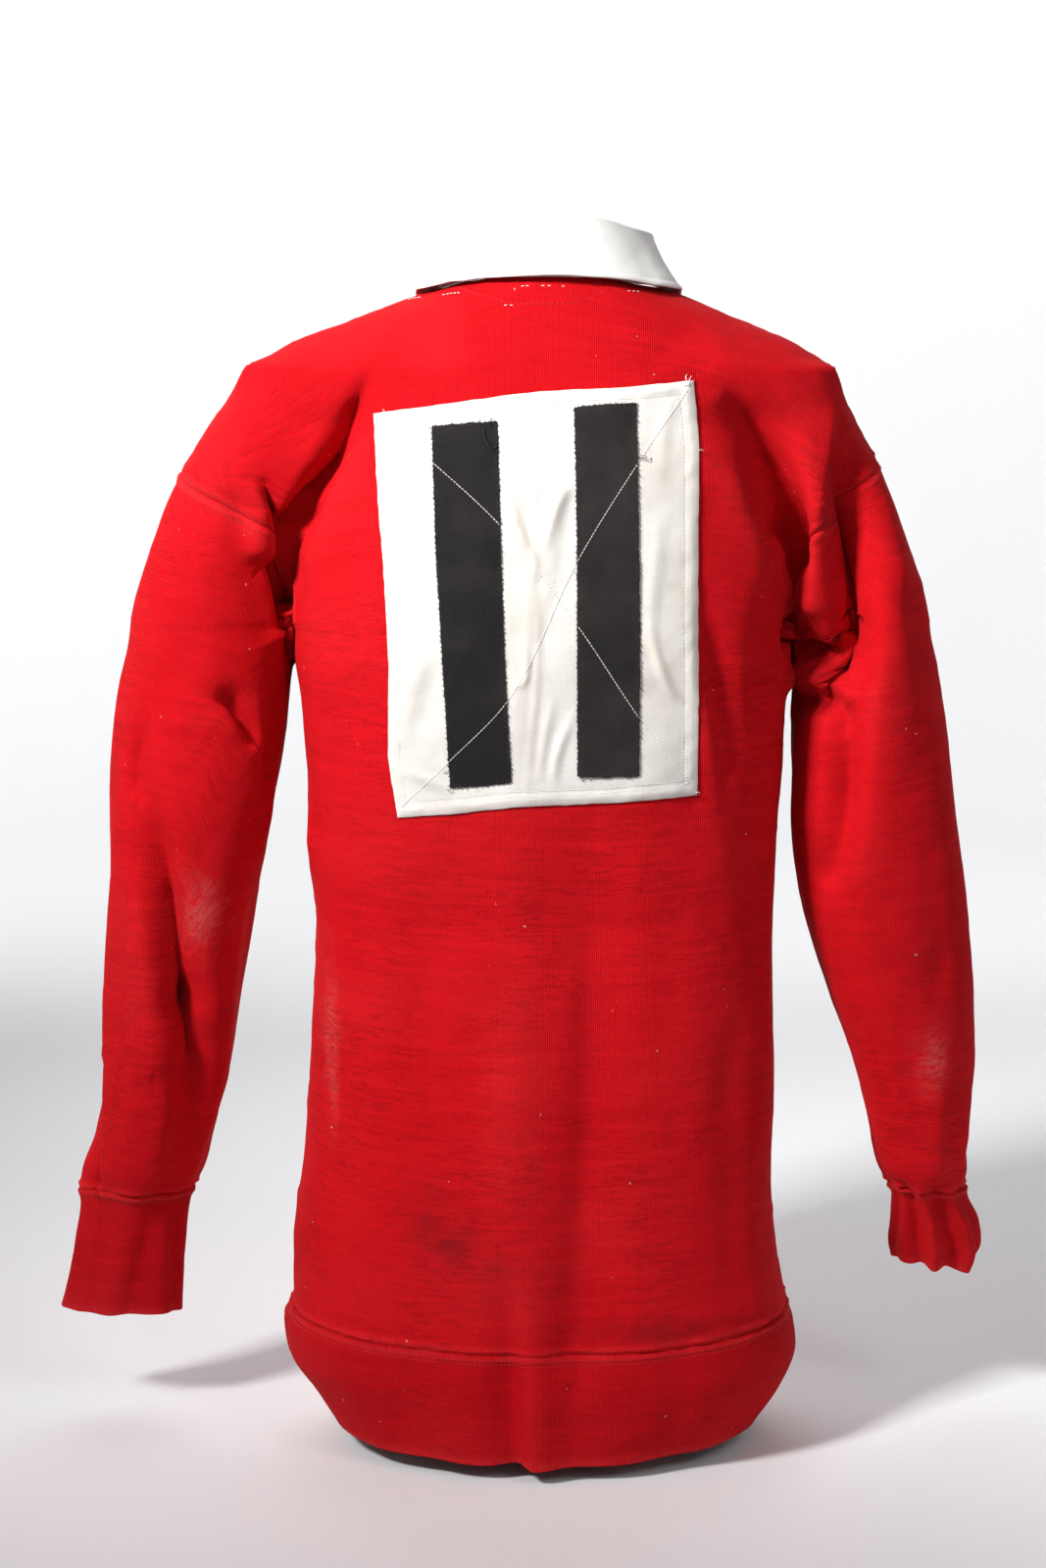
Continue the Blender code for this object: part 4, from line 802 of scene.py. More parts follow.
def away_from(points, line, reach=0.03):
    """Distance of points from a close line, and 1 m where they are further than reach."""
    made = np.full(len(points), 1.0)
    coarse = line[:: max(1, int(0.008 / 0.0006))]
    near = np.nonzero(((points > line.min(0) - reach) & (points < line.max(0) + reach)).all(-1))[0]
    if not len(near):
        return made
    rough = np.full(len(near), 1e9)
    for q in coarse:
        rough = np.minimum(rough, ((points[near] - q) ** 2).sum(-1))
    near = near[rough < (reach + 0.01) ** 2]
    for first in range(0, len(near), 4000):
        part = near[first:first + 4000]
        p = points[part]
        d2 = ((p[:, None, :] - line[None]) ** 2).sum(-1)
        made[part] = np.sqrt(d2.min(1))
    return made


# How the cloth lies at each seam: a groove on the seam line, a raised welt beside it, and puckers that die away.
SEAM_RELIEF = dict(
    seam=   ("armhole_left", "armhole_right", "cuff_left", "cuff_right", "side_left", "side_right", "shoulder_left", "shoulder_right", "hem"),
    groove= (.0007,          .0007,           .0007,       .0007,        .0005,       .0005,        .0006,           .0006,            .0006),
    welt=   (.0009,          .0009,           .0011,       .0011,        .0004,       .0004,        .0007,           .0007,            .0012),
    offset= (.0034,          .0034,           .0030,       .0030,        .0040,       .0040,        .0036,           .0036,            .0030),
    pucker= (.0009,          .0009,           .0008,       .0010,        .0006,       .0006,        .0004,           .0004,            .0007),
)


def seam_relief(points, name):
    height = np.zeros(len(points))
    for k, seam in enumerate(SEAM_RELIEF["seam"]):
        if seam.startswith("hem") and not name.startswith(("band", "back", "front")):
            continue
        if seam.startswith("side") and name.startswith(("sleeve", "cuff")):
            continue
        if seam.startswith(("armhole", "cuff")) and name.startswith("band"):
            continue
        if seam.startswith("cuff") and not name.startswith(("cuff", "sleeve")):
            continue
        d = away_from(points, seams[seam])
        near = np.nonzero(d < 0.029)[0]
        if not len(near):
            continue
        r, p = d[near], points[near]
        wave = noise(p, 0.0085, k + 1.0) + 0.5 * noise(p, 0.0048, k + 5.0)
        height[near] += (
            -SEAM_RELIEF["groove"][k] * np.exp(-((r / 0.0013) ** 2))
            + SEAM_RELIEF["welt"][k] * np.exp(-(((r - SEAM_RELIEF["offset"][k]) / 0.0019) ** 2)) * (1 + 0.35 * wave)
            + SEAM_RELIEF["pucker"][k] * wave * np.exp(-((r / 0.0085) ** 2)) * smooth(r / 0.002)
        )
    return height


def wrinkles(points):
    """The cloth's soft unevenness, longer up and down than across."""
    return (
        0.0020 * noise(points, (0.075, 0.075, 0.22), 1)
        + 0.0011 * noise(points, (0.036, 0.036, 0.085), 2)
        + 0.0005 * noise(points, (0.017, 0.017, 0.030), 3)
        + 0.00022 * noise(points, 0.009, 4)
    )


PITS = np.array([grids["sleeve_left"][0, 0], grids["sleeve_right"][0, 0]])
final, final_outs, fold_height = {}, {}, {}
for name, grid in grids.items():
    flat, outs = grid.reshape(-1, 3), normals[name].reshape(-1, 3)
    height, shift = fold_relief(flat, outs)
    fold_height[name] = height.reshape(grid.shape[:2])
    height = height + seam_relief(flat, name) + wrinkles(flat)
    # All of it dies away at the very armpit, where the cloth is pinched.
    calm = smooth((np.minimum(*(np.linalg.norm(flat - pit, axis=-1) for pit in PITS)) - 0.006) / 0.024)
    height, shift = height * calm, shift * calm[:, None]
    final[name] = (flat + outs * height[:, None] + shift).reshape(grid.shape)
final_outs = outward(final)

# ---------------------------------------------------------------- shells
def open_edge(rows, cols, closed):
    """The grid's boundary as lists of indices that go round it, each with its neighbour further in and its tag."""
    index = np.arange(rows * cols).reshape(rows, cols)
    if closed:
        return [
            (index[0], index[1], np.full(cols, 0)),
            (index[-1][::-1], index[-2][::-1], np.full(cols, 1)),
        ]
    ring = np.concatenate([index[0, :-1], index[:-1, -1], index[-1, :0:-1], index[:0:-1, 0]])
    inner = np.clip(np.stack(np.unravel_index(ring, (rows, cols)), -1), (1, 1), (rows - 2, cols - 2))
    inner = index[inner[:, 0], inner[:, 1]]
    tag = np.concatenate([np.full(cols - 1, 0), np.full(rows - 1, 2), np.full(cols - 1, 1), np.full(rows - 1, 2)])
    return [(ring, inner, tag)]


def shell(name, grid, outs, closed, thick, uv, rounded, mat, nodes, values=None, uv_wrap=None):
    """A closed thin shell: grid is its outer face, and its inner face lies thick behind it.

    rounded says which boundary is a free rounded edge: 0 the first row, 1 the last, 2 the sides.
    """
    rows, cols = grid.shape[:2]
    p, n = grid.reshape(-1, 3), outs.reshape(-1, 3)
    thick = np.broadcast_to(np.asarray(thick, float), (rows, cols)).reshape(-1)
    inner_p = p - n * thick[:, None]
    verts, count = [p, inner_p], rows * cols
    wide = cols if closed else cols - 1
    j, i = np.meshgrid(np.arange(rows - 1), np.arange(wide), indexing="ij")
    j, i = j.ravel(), i.ravel()
    nxt = (i + 1) % cols
    a, b, c, d = j * cols + i, j * cols + nxt, (j + 1) * cols + nxt, (j + 1) * cols + i
    quads = np.stack([a, b, c, d], -1)
    ucols = cols + 1 if closed else cols
    ua, ub, uc, ud = j * ucols + i, j * ucols + i + 1, (j + 1) * ucols + i + 1, (j + 1) * ucols + i
    uquads = np.stack([ua, ub, uc, ud], -1)
    e1, e2 = p[b] - p[a], p[d] - p[a]
    turn_out = (np.cross(e1, e2) * n[a]).sum() > 0
    if not turn_out:
        quads, uquads = quads[:, ::-1], uquads[:, ::-1]
    faces, ufaces = [quads, (quads + count)[:, ::-1]], [uquads, uquads[:, ::-1]]
    source = [np.arange(count), np.arange(count)]
    total = 2 * count
    for ring, inside, tag in open_edge(rows, cols, closed):
        k = len(ring)
        is_round = np.isin(tag, rounded).astype(float)
        if not closed:
            # A rounded edge eases into the flat rim at its corners.
            is_round = np.minimum(is_round, np.maximum(np.roll(is_round, 1), np.roll(is_round, -1)))
        edge = unit(p[ring] - p[inside] - ((p[ring] - p[inside]) * n[ring]).sum(-1, keepdims=True) * n[ring])
        centre = p[ring] - n[ring] * thick[ring][:, None] / 2
        layers = [ring]
        steps = (40, 90, 140) if len(rounded) else ()
        for angle in steps:
            t = math.radians(angle)
            verts.append(centre + thick[ring][:, None] / 2 * (math.cos(t) * n[ring] + math.sin(t) * is_round[:, None] * edge))
            source.append(ring)
            layers.append(total + np.arange(k))
            total += k
        layers.append(ring + count)
        where = np.unravel_index(ring, (rows, cols))
        uring = where[0] * ucols + where[1]
        for one, two in zip(layers[:-1], layers[1:]):
            f = np.stack([one, two, np.roll(two, -1), np.roll(one, -1)], -1)
            u = np.stack([uring, uring, np.roll(uring, -1), np.roll(uring, -1)], -1)
            if not turn_out:
                f, u = f[:, ::-1], u[:, ::-1]
            faces.append(f)
            ufaces.append(u)
    verts, faces, ufaces = np.concatenate(verts), np.concatenate(faces), np.concatenate(ufaces)
    mesh = bpy.data.meshes.new(name)
    mesh.vertices.add(len(verts))
    mesh.vertices.foreach_set("co", verts.astype(np.float32).ravel())
    mesh.loops.add(faces.size)
    mesh.loops.foreach_set("vertex_index", faces.astype(np.int32).ravel())
    mesh.polygons.add(len(faces))
    mesh.polygons.foreach_set("loop_start", np.arange(0, faces.size, 4, dtype=np.int32))
    mesh.polygons.foreach_set("use_smooth", np.ones(len(faces), bool))
    layer = mesh.uv_layers.new(name="cut")
    flat_uv = np.asarray(uv_wrap if closed and uv_wrap is not None else uv).reshape(-1, 2)
    layer.uv.foreach_set("vector", flat_uv[ufaces.ravel()].astype(np.float32).ravel())
    source = np.concatenate(source)
    for key, value in (values or {}).items():
        attribute = mesh.attributes.new(key, "FLOAT", "POINT")
        attribute.data.foreach_set("value", np.asarray(value, float).reshape(-1)[source].astype(np.float32))
    mesh.update(calc_edges=True)
    mesh.validate()
    return finish_piece(name, mesh, mat, nodes)


def finish_piece(name, mesh, mat, nodes):
    mesh.materials.append(mat)
    obj = bpy.data.objects.new(name, mesh)
    bpy.context.scene.collection.objects.link(obj)
    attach(obj, "root")
    if nodes:
        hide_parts(*nodes)
    return obj


def plain_mesh(name, verts, faces, mat, nodes=(), uv=None, flat=False):
    mesh = bpy.data.meshes.new(name)
    mesh.from_pydata(np.asarray(verts).tolist(), [], [list(map(int, f)) for f in faces])
    if not flat:
        mesh.shade_smooth()
    if uv is not None:
        layer = mesh.uv_layers.new(name="cut")
        loops = np.empty(len(mesh.loops), np.int32)
        mesh.loops.foreach_get("vertex_index", loops)
        layer.uv.foreach_set("vector", np.asarray(uv)[loops].astype(np.float32).ravel())
    mesh.validate()
    return finish_piece(name, mesh, mat, nodes)


def outer_area(grid, closed):
    g = np.concatenate([grid, grid[:, :1]], 1) if closed else grid
    d1, d2 = g[1:, 1:] - g[:-1, :-1], g[1:, :-1] - g[:-1, 1:]
    return float(np.linalg.norm(np.cross(d1, d2), axis=-1).sum() / 2)


def metric_uv(grid, closed, up_from_last=False):
    """Distances along the cloth in metres: u across from the middle column, v along from the first row or the last."""
    g = np.concatenate([grid, grid[:, :1]], 1) if closed else grid
    u = np.concatenate([np.zeros((g.shape[0], 1)), np.cumsum(np.linalg.norm(np.diff(g, axis=1), axis=-1), 1)], 1)
    middle = g.shape[1] // 2
    u = u - u[:, middle:middle + 1]
    v = np.concatenate([np.zeros((1, g.shape[1])), np.cumsum(np.linalg.norm(np.diff(g, axis=0), axis=-1), 0)], 0)
    if up_from_last:
        v = v - v[-1:]
    return np.stack([u, v], -1)

# ---------------------------------------------------------------- materials
class Shade:
    """Short names for building one material's nodes."""

    def __init__(self, name):
        self.mat = bpy.data.materials.new(name)
        self.mat.use_nodes = True
        self.tree = self.mat.node_tree
        self.shader = self.tree.nodes["Principled BSDF"]

    def node(self, kind, inputs=None, **props):
        made = self.tree.nodes.new(kind)
        for key, value in props.items():
            setattr(made, key, value)
        for key, value in (inputs or {}).items():
            self.put(made.inputs[key], value)
        return made

    def put(self, socket, value):
        if isinstance(value, bpy.types.NodeSocket):
            self.tree.links.new(value, socket)
        else:
            socket.default_value = value

    def math(self, operation, a, b=0.0, c=0.0, clamp=False):
        made = self.tree.nodes.new("ShaderNodeMath")
        made.operation = operation
        made.use_clamp = clamp
        for socket, value in zip(made.inputs, (a, b, c)):
            self.put(socket, value)
        return made.outputs[0]

    def mix(self, factor, a, b, blend="MIX"):
        made = self.tree.nodes.new("ShaderNodeMix")
        made.data_type = "RGBA"
        made.blend_type = blend
        self.put(made.inputs[0], factor)
        self.put(made.inputs[6], a)
        self.put(made.inputs[7], b)
        return made.outputs[2]

    def spread(self, value, low, high, to_low=0.0, to_high=1.0):
        made = self.node("ShaderNodeMapRange", {0: value, 1: low, 2: high, 3: to_low, 4: to_high}, clamp=True)
        return made.outputs[0]

    def vector(self, x, y, z=0.0):
        return self.node("ShaderNodeCombineXYZ", {0: x, 1: y, 2: z}).outputs[0]

    def noise(self, vector, scale=1.0, detail=2.0, roughness=0.5):
        made = self.node("ShaderNodeTexNoise", {"Vector": vector, "Scale": scale, "Detail": detail, "Roughness": roughness})
        return made.outputs["Fac"]

    def value(self, name):
        return self.node("ShaderNodeAttribute", attribute_name=name).outputs["Fac"]

    def cut(self):
        """(u, v) in metres along the cloth, and their vector."""
        uv = self.node("ShaderNodeUVMap", uv_map="cut").outputs["UV"]
        apart = self.node("ShaderNodeSeparateXYZ", {0: uv})
        return apart.outputs[0], apart.outputs[1], uv

    def where(self):
        return self.node("ShaderNodeTexCoord").outputs["Object"]

    def relief(self, height, distance, strength=1.0):
        made = self.node("ShaderNodeBump", {"Height": height, "Distance": distance, "Strength": strength})
        self.put(self.shader.inputs["Normal"], made.outputs["Normal"])

    def sheen(self, weight, roughness, tint):
        self.shader.inputs["Sheen Weight"].default_value = weight
        self.shader.inputs["Sheen Roughness"].default_value = roughness
        self.shader.inputs["Sheen Tint"].default_value = tint


def knit(name, dark, light, wale, course, gap_painted_shade, slub_dark, bump):
    """Heavy cotton knit: upright wales of small V loops with painted shade between them, thick and thin courses, fuzz,
    wear on seams and edges, painted highlight on fold ridges, scuffs and soil.
    """
    s = Shade(name)
    u, v, uv = s.cut()
    place = s.where()
    wobble = s.math("MULTIPLY", s.math("SUBTRACT", s.noise(uv, 26.0, 1.0), 0.5), 0.0016)
    phase = s.math("DIVIDE", s.math("ADD", u, wobble), wale)
    gap = s.math("MULTIPLY", s.math("PINGPONG", phase, 0.5), 2.0)                    # 0 on the wale, 1 between wales
    ridge = s.math("SUBTRACT", 1.0, s.math("POWER", gap, 2.0))
    loops = s.math("MULTIPLY_ADD", gap, 0.5, s.math("DIVIDE", v, course))
    loop = s.math("MULTIPLY_ADD", s.math("SINE", s.math("MULTIPLY", loops, 2 * math.pi)), 0.5, 0.5)
    height = s.math("MULTIPLY", ridge, s.math("MULTIPLY_ADD", loop, 0.35, 0.65))
    # Thick and thin courses: long thin dark lines and softer bands.
    long_noise = s.noise(s.vector(s.math("MULTIPLY", u, 22.0), s.math("MULTIPLY", v, 240.0)), 1.0, 3.0, 0.6)
    lines = s.math("SUBTRACT", 1.0, s.math("DIVIDE", s.math("ABSOLUTE", s.math("SUBTRACT", long_noise, 0.47)), 0.045), clamp=True)
    band_noise = s.noise(s.vector(s.math("MULTIPLY", u, 9.0), s.math("MULTIPLY", v, 120.0)), 1.0, 2.0, 0.5)
    bands = s.spread(band_noise, 0.35, 0.70)
    patches = s.spread(s.noise(place, 11.0, 2.0), 0.38, 0.62)
    lines = s.math("MULTIPLY", lines, s.math("MULTIPLY_ADD", patches, 0.75, 0.25))
    fuzz = s.noise(uv, 1500.0, 2.0, 0.7)
    fine = s.noise(uv, 420.0, 3.0, 0.7)
    broad = s.noise(place, 5.0, 3.0, 0.55)
    tone = s.math("MULTIPLY_ADD", s.math("SUBTRACT", broad, 0.5), 0.9, 0.5)
    tone = s.math("ADD", tone, s.math("MULTIPLY", s.math("SUBTRACT", fine, 0.5), 0.45))
    tone = s.math("ADD", tone, s.math("MULTIPLY", s.math("SUBTRACT", bands, 0.5), 0.22), clamp=True)
    colour = s.mix(tone, dark, light)
    # Painted shade: the colour darkens in the gaps between the wales, where the knit dips; the thin dark lines of the
    # thick and thin courses also darken it.
    shade = s.math("SUBTRACT", 1.0, s.math("MULTIPLY", s.math("POWER", gap, 3.0), gap_painted_shade))
    shade = s.math("MULTIPLY", shade, s.math("SUBTRACT", 1.0, s.math("MULTIPLY", lines, slub_dark)))
    colour = s.mix(1.0, colour, s.node("ShaderNodeCombineColor", {0: shade, 1: shade, 2: shade}).outputs[0], "MULTIPLY")
    # Painted highlight lightens the fold ridges that stand proud, and wear lightens the seams and free edges; scuffs
    # are chalky; soil is brownish black in the knit's hollows.
    wear_and_ridge_light = s.math("MULTIPLY", s.value("wear_and_ridge_light"), s.spread(fine, 0.30, 0.70, 0.35, 1.0))
    colour = s.mix(s.math("MULTIPLY", wear_and_ridge_light, 0.30), colour, (0.86, 0.055, 0.060, 1))
    scuffs = s.noise(s.vector(s.math("MULTIPLY", u, 160.0), s.math("MULTIPLY", v, 300.0)), 1.0, 4.0, 0.7)
    pale = s.math("MULTIPLY", s.value("pale"), s.spread(scuffs, 0.36, 0.66), clamp=True)
    colour = s.mix(s.math("MULTIPLY", pale, 0.62), colour, (0.66, 0.30, 0.28, 1))
    grime = s.spread(s.noise(place, 46.0, 4.0, 0.62), 0.34, 0.64, 0.25, 1.0)
    soil = s.math("MULTIPLY", s.value("soil"), s.math("MULTIPLY", grime, s.spread(scuffs, 0.25, 0.60, 0.70, 1.0)), clamp=True)
    colour = s.mix(s.math("MULTIPLY", soil, 0.72), colour, (0.060, 0.008, 0.009, 1))
    specks = s.spread(s.noise(place, 330.0, 0.0), 0.885, 0.905)
    colour = s.mix(s.math("MULTIPLY", specks, 0.42), colour, (0.80, 0.46, 0.40, 1))
    s.put(s.shader.inputs["Base Color"], colour)
    s.put(s.shader.inputs["Roughness"], s.math("MULTIPLY_ADD", fuzz, 0.16, 0.78))
    s.shader.inputs["Specular IOR Level"].default_value = 0.07
    s.sheen(0.05, 0.40, (1.0, 0.09, 0.08, 1))
    total = s.math("ADD", s.math("MULTIPLY", height, 0.70), s.math("MULTIPLY", fuzz, 0.26))
    total = s.math("ADD", total, s.math("MULTIPLY", lines, -0.22))
    total = s.math("ADD", total, s.math("MULTIPLY", fine, 0.30))
    s.relief(total, bump)
    return s.mat


def woven(name, light, dark, pitch, twill=False, bump=0.00022, sheen=(0.10, 0.5, (1, 1, 1, 1)), roughness=0.82, tones=()):
    """Plain or twill weave with uneven threads. tones are (value, colour, share) of stains carried by the mesh."""
    s = Shade(name)
    u, v, uv = s.cut()
    place = s.where()
    two_pi = 2 * math.pi
    if twill:
        wave = s.math("SINE", s.math("MULTIPLY", s.math("ADD", u, v), two_pi / pitch))
    else:
        warp = s.math("SINE", s.math("MULTIPLY", u, two_pi / pitch))
        weft = s.math("SINE", s.math("MULTIPLY", v, two_pi / pitch))
        wave = s.math("MULTIPLY", warp, weft)
    weave = s.math("MULTIPLY_ADD", wave, 0.5, 0.5)
    across = s.noise(s.vector(s.math("MULTIPLY", u, 45.0), s.math("MULTIPLY", v, 1300.0)), 1.0, 2.0, 0.6)
    upright = s.noise(s.vector(s.math("MULTIPLY", u, 1300.0), s.math("MULTIPLY", v, 45.0)), 1.0, 2.0, 0.6)
    threads = s.math("MULTIPLY", s.math("ADD", across, upright), 0.5)
    fuzz = s.noise(uv, 1100.0, 2.0, 0.7)
    broad = s.noise(place, 9.0, 3.0, 0.6)
    tone = s.math("ADD", s.spread(threads, 0.36, 0.64), s.math("MULTIPLY", s.math("SUBTRACT", broad, 0.5), 1.1))
    tone = s.math("ADD", s.math("MULTIPLY", tone, 0.7), s.math("MULTIPLY", weave, 0.3), clamp=True)
    colour = s.mix(tone, dark, light)
    for key, stain, share in tones:
        amount = s.math("MULTIPLY", s.value(key), s.spread(s.noise(place, 60.0, 4.0, 0.6), 0.25, 0.65, 0.45, 1.0), clamp=True)
        colour = s.mix(s.math("MULTIPLY", amount, share), colour, stain)
    s.put(s.shader.inputs["Base Color"], colour)
    s.put(s.shader.inputs["Roughness"], s.math("MULTIPLY_ADD", fuzz, 0.14, roughness - 0.07))
    s.shader.inputs["Specular IOR Level"].default_value = 0.25
    s.sheen(*sheen)
    total = s.math("ADD", s.math("MULTIPLY", weave, 0.5), s.math("MULTIPLY", threads, 0.6))
    total = s.math("ADD", total, s.math("MULTIPLY", fuzz, 0.25))
    s.relief(total, bump)
    return s.mat


def thread(name, light, dark, roughness=0.62):
    s = Shade(name)
    place = s.where()
    tone = s.spread(s.noise(place, 700.0, 2.0, 0.6), 0.30, 0.70)
    s.put(s.shader.inputs["Base Color"], s.mix(tone, dark, light))
    s.put(s.shader.inputs["Roughness"], s.math("MULTIPLY_ADD", tone, 0.12, roughness))
    s.shader.inputs["Specular IOR Level"].default_value = 0.3
    s.sheen(0.15, 0.4, (1, 1, 1, 1))
    s.relief(s.noise(place, 2600.0, 1.0, 0.5), 0.00008)
    return s.mat


def rubber_of(name, light, dark):
    s = Shade(name)
    place = s.where()
    tone = s.spread(s.noise(place, 240.0, 4.0, 0.6), 0.30, 0.70)
    s.put(s.shader.inputs["Base Color"], s.mix(tone, dark, light))
    s.put(s.shader.inputs["Roughness"], s.spread(s.noise(place, 900.0, 3.0, 0.6), 0.3, 0.7, 0.42, 0.60))
    s.relief(s.noise(place, 1500.0, 3.0, 0.6), 0.00006)
    return s.mat


jersey = knit("jersey", (0.475, 0.0018, 0.0048, 1), (0.700, 0.0070, 0.0135, 1), 0.00145, 0.00115, 0.34, 0.32, 0.00042)
ribbing = knit("ribbing", (0.425, 0.0015, 0.0042, 1), (0.620, 0.0052, 0.0108, 1), 0.00150, 0.00115, 0.42, 0.24, 0.00050)
drill = woven(
    "drill", (0.90, 0.89, 0.86, 1), (0.80, 0.79, 0.755, 1), 0.00070, True,
    tones=(("tan", (0.66, 0.56, 0.42, 1), 0.30),),
)
calico = woven(
    "calico", (0.80, 0.782, 0.745, 1), (0.69, 0.662, 0.612, 1), 0.00085,
    tones=(("tan", (0.60, 0.47, 0.34, 1), 0.42), ("grey", (0.40, 0.37, 0.35, 1), 0.34)),
)
twill = woven(
    "twill", (0.013, 0.0105, 0.011, 1), (0.005, 0.0044, 0.0047, 1), 0.00080, True, 0.00024,
    sheen=(0.04, 0.5, (0.75, 0.72, 0.72, 1)), roughness=0.90, tones=(("dust", (0.060, 0.048, 0.046, 1), 0.40),),
)
red_thread = thread("red_thread", (0.600, 0.012, 0.018, 1), (0.400, 0.004, 0.009, 1))
white_thread = thread("white_thread", (0.93, 0.92, 0.89, 1), (0.84, 0.82, 0.77, 1))
black_thread = thread("black_thread", (0.030, 0.028, 0.030, 1), (0.010, 0.010, 0.011, 1))
rubber = rubber_of("rubber", (0.78, 0.74, 0.66, 1), (0.64, 0.60, 0.52, 1))

# ---------------------------------------------------------------- wear, painted highlights on the fold ridges, scuffs and soil carried by the cloth
# Blots on the back, in (x, z): half sizes, strength and how far they lean.
BLOTS = dict(
    kind=("soil", "soil", "soil", "soil", "soil", "soil", "pale", "pale", "pale", "pale", "pale", "soil", "soil", "soil"),
    x=   (.0590,  .0790,  .0330,  -.0850, -.0480, -.1300, .2340,  .2300,  -.2740, .1460,  .1440,  -.2570, .0050,  -.0300),
    z=   (-.6440, -.6300, -.6560, -.7030, -.6985, -.7080, -.4240, -.4080, -.5300, -.5050, -.5400, -.4660, -.6700, -.6200),
    wide=(.0230,  .0140,  .0260,  .0420,  .0340,  .0240,  .0125,  .0080,  .0090,  .0045,  .0035,  .0200,  .0500,  .0700),
    tall=(.0190,  .0240,  .0120,  .0085,  .0060,  .0060,  .0200,  .0100,  .0160,  .0400,  .0300,  .0420,  .0300,  .0500),
    much=(.95,    .60,    .60,    .80,    .65,    .50,    .55,    .38,    .42,    .30,    .25,    .34,    .34,    .22),
)
# The same on the number patch: tan toning and grey soil.
PATCH_BLOTS = dict(
    kind=("tan",  "tan",  "tan",  "tan",  "tan",  "tan",  "grey", "grey", "grey", "tan"),
    x=   (-.0800, -.0900, -.0750, .0150,  .0100,  .0850,  .0880,  .0800,  -.0860, .0400),
    z=   (-.1150, -.1900, -.2500, -.2000, -.2850, -.1050, -.2600, -.3150, -.3250, -.3400),
    wide=(.0200,  .0180,  .0180,  .0130,  .0110,  .0160,  .0200,  .0170,  .0180,  .0450),
    tall=(.0260,  .0700,  .0500,  .0800,  .0500,  .0300,  .0450,  .0240,  .0120,  .0060),
    much=(.85,    .60,    .60,    .60,    .60,    .40,    .85,    .75,    .50,    .50),
)


def blots(table, kind, points, on_back=True):
    made = np.zeros(points.shape[:-1])
    x, y, z = points[..., 0], points[..., 1], points[..., 2]
    ragged = 1 + 0.35 * noise(points, 0.013, 9) + 0.25 * noise(points, 0.005, 10)
    for k in range(len(table["kind"])):
        if table["kind"][k] != kind:
            continue
        r = np.hypot((x - table["x"][k]) / table["wide"][k], (z - table["z"][k]) / table["tall"][k]) / ragged
        made = np.maximum(made, table["much"][k] * np.exp(-(r**2) * 0.9))
    return made * (smooth((y + 0.01) / 0.03) if on_back else 1.0)


def wear_and_ridge_highlight_of(name):
    """Lighter on the fold ridges that stand proud of their surroundings, which is painted highlight, and near seams and
    free edges, which is wear.
    """
    grid = final[name]
    flat = grid.reshape(-1, 3)
    # Painted highlight: the fold ridges that stand proud are lightened.
    proud = smooth(-fold_height[name].reshape(-1) * -1 / 0.004) * 0.5
    near_seam = np.zeros(len(flat))
    for seam, line in seams.items():
        d = away_from(flat, line, 0.012)
        near_seam = np.maximum(near_seam, np.exp(-(((d - 0.0032) / 0.0026) ** 2)))
    edge = np.zeros(grid.shape[:2])
    if name.startswith(("cuff", "band")):
        along = np.linalg.norm(grid - grid[-1:], axis=-1)
        edge = np.exp(-((along / 0.006) ** 2))
    wear_and_ridge_light = np.clip(0.40 * proud + 0.60 * near_seam + 0.8 * edge.reshape(-1) + 0.25 * noise(flat, 0.05, 12), 0, 1)
    return wear_and_ridge_light.reshape(grid.shape[:2])


def cloth_piece(name, piece, node, mat, thick, rounded, up=False):
    grid, outs, closed = final[name], final_outs[name], CLOSED[name]
    uv = metric_uv(grid, closed, up)
    values = {"wear_and_ridge_light": wear_and_ridge_highlight_of(name), "soil": blots(BLOTS, "soil", grid), "pale": blots(BLOTS, "pale", grid)}
    obj = shell(piece, grid, outs, closed, thick, uv, rounded, mat, [node], values, uv_wrap=uv)
    return obj


cloth_piece("back", "back_cloth", "back", jersey, CLOTH, (1,))
cloth_piece("front", "front_cloth", "front", jersey, CLOTH, (1,))
for word in ("left", "right"):
    cloth_piece("sleeve_" + word, "sleeve_%s_cloth" % word, "sleeve_" + word, jersey, CLOTH, (), True)
    cloth_piece("cuff_" + word, "cuff_%s_rib" % word, "cuff_" + word, ribbing, RIB_CLOTH, (1,))
cloth_piece("band_back", "hem_back_rib", "hem_band_back", ribbing, RIB_CLOTH, (1,))
cloth_piece("band_front", "hem_front_rib", "hem_band_front", ribbing, RIB_CLOTH, (1,))


# ---------------------------------------------------------------- laying things on the cloth
def tree_of(grid, closed=False):
    rows, cols = grid.shape[:2]
    wide = cols if closed else cols - 1
    j, i = np.meshgrid(np.arange(rows - 1), np.arange(wide), indexing="ij")
    j, i = j.ravel(), i.ravel()
    nxt = (i + 1) % cols
    quads = np.stack([j * cols + i, j * cols + nxt, (j + 1) * cols + nxt, (j + 1) * cols + i], -1)
    return BVHTree.FromPolygons(grid.reshape(-1, 3).tolist(), quads.tolist())


def lay(x, z, tree, face=1):
    """(points, normals) where lines square to the front and back meet the cloth at (x, z)."""
    points, outs = [], []
    for a, b in zip(np.ravel(x), np.ravel(z)):
        hit, n, _, _ = tree.ray_cast(Vector((a, 0.3 * face, b)), Vector((0, -face, 0)))
        if hit is None:
            hit, n, _, _ = tree.find_nearest(Vector((a, 0.12 * face, b)))
        if n.y * face < 0:
            n = -n
        points.append(hit)
        outs.append(n)
    return np.array(points), np.array(outs)


def blur(values, times):
    for _ in range(times):
        v = np.pad(values, 1, mode="edge")
        values = (v[1:-1, 1:-1] * 4 + v[:-2, 1:-1] + v[2:, 1:-1] + v[1:-1, :-2] + v[1:-1, 2:]) / 8
    return values


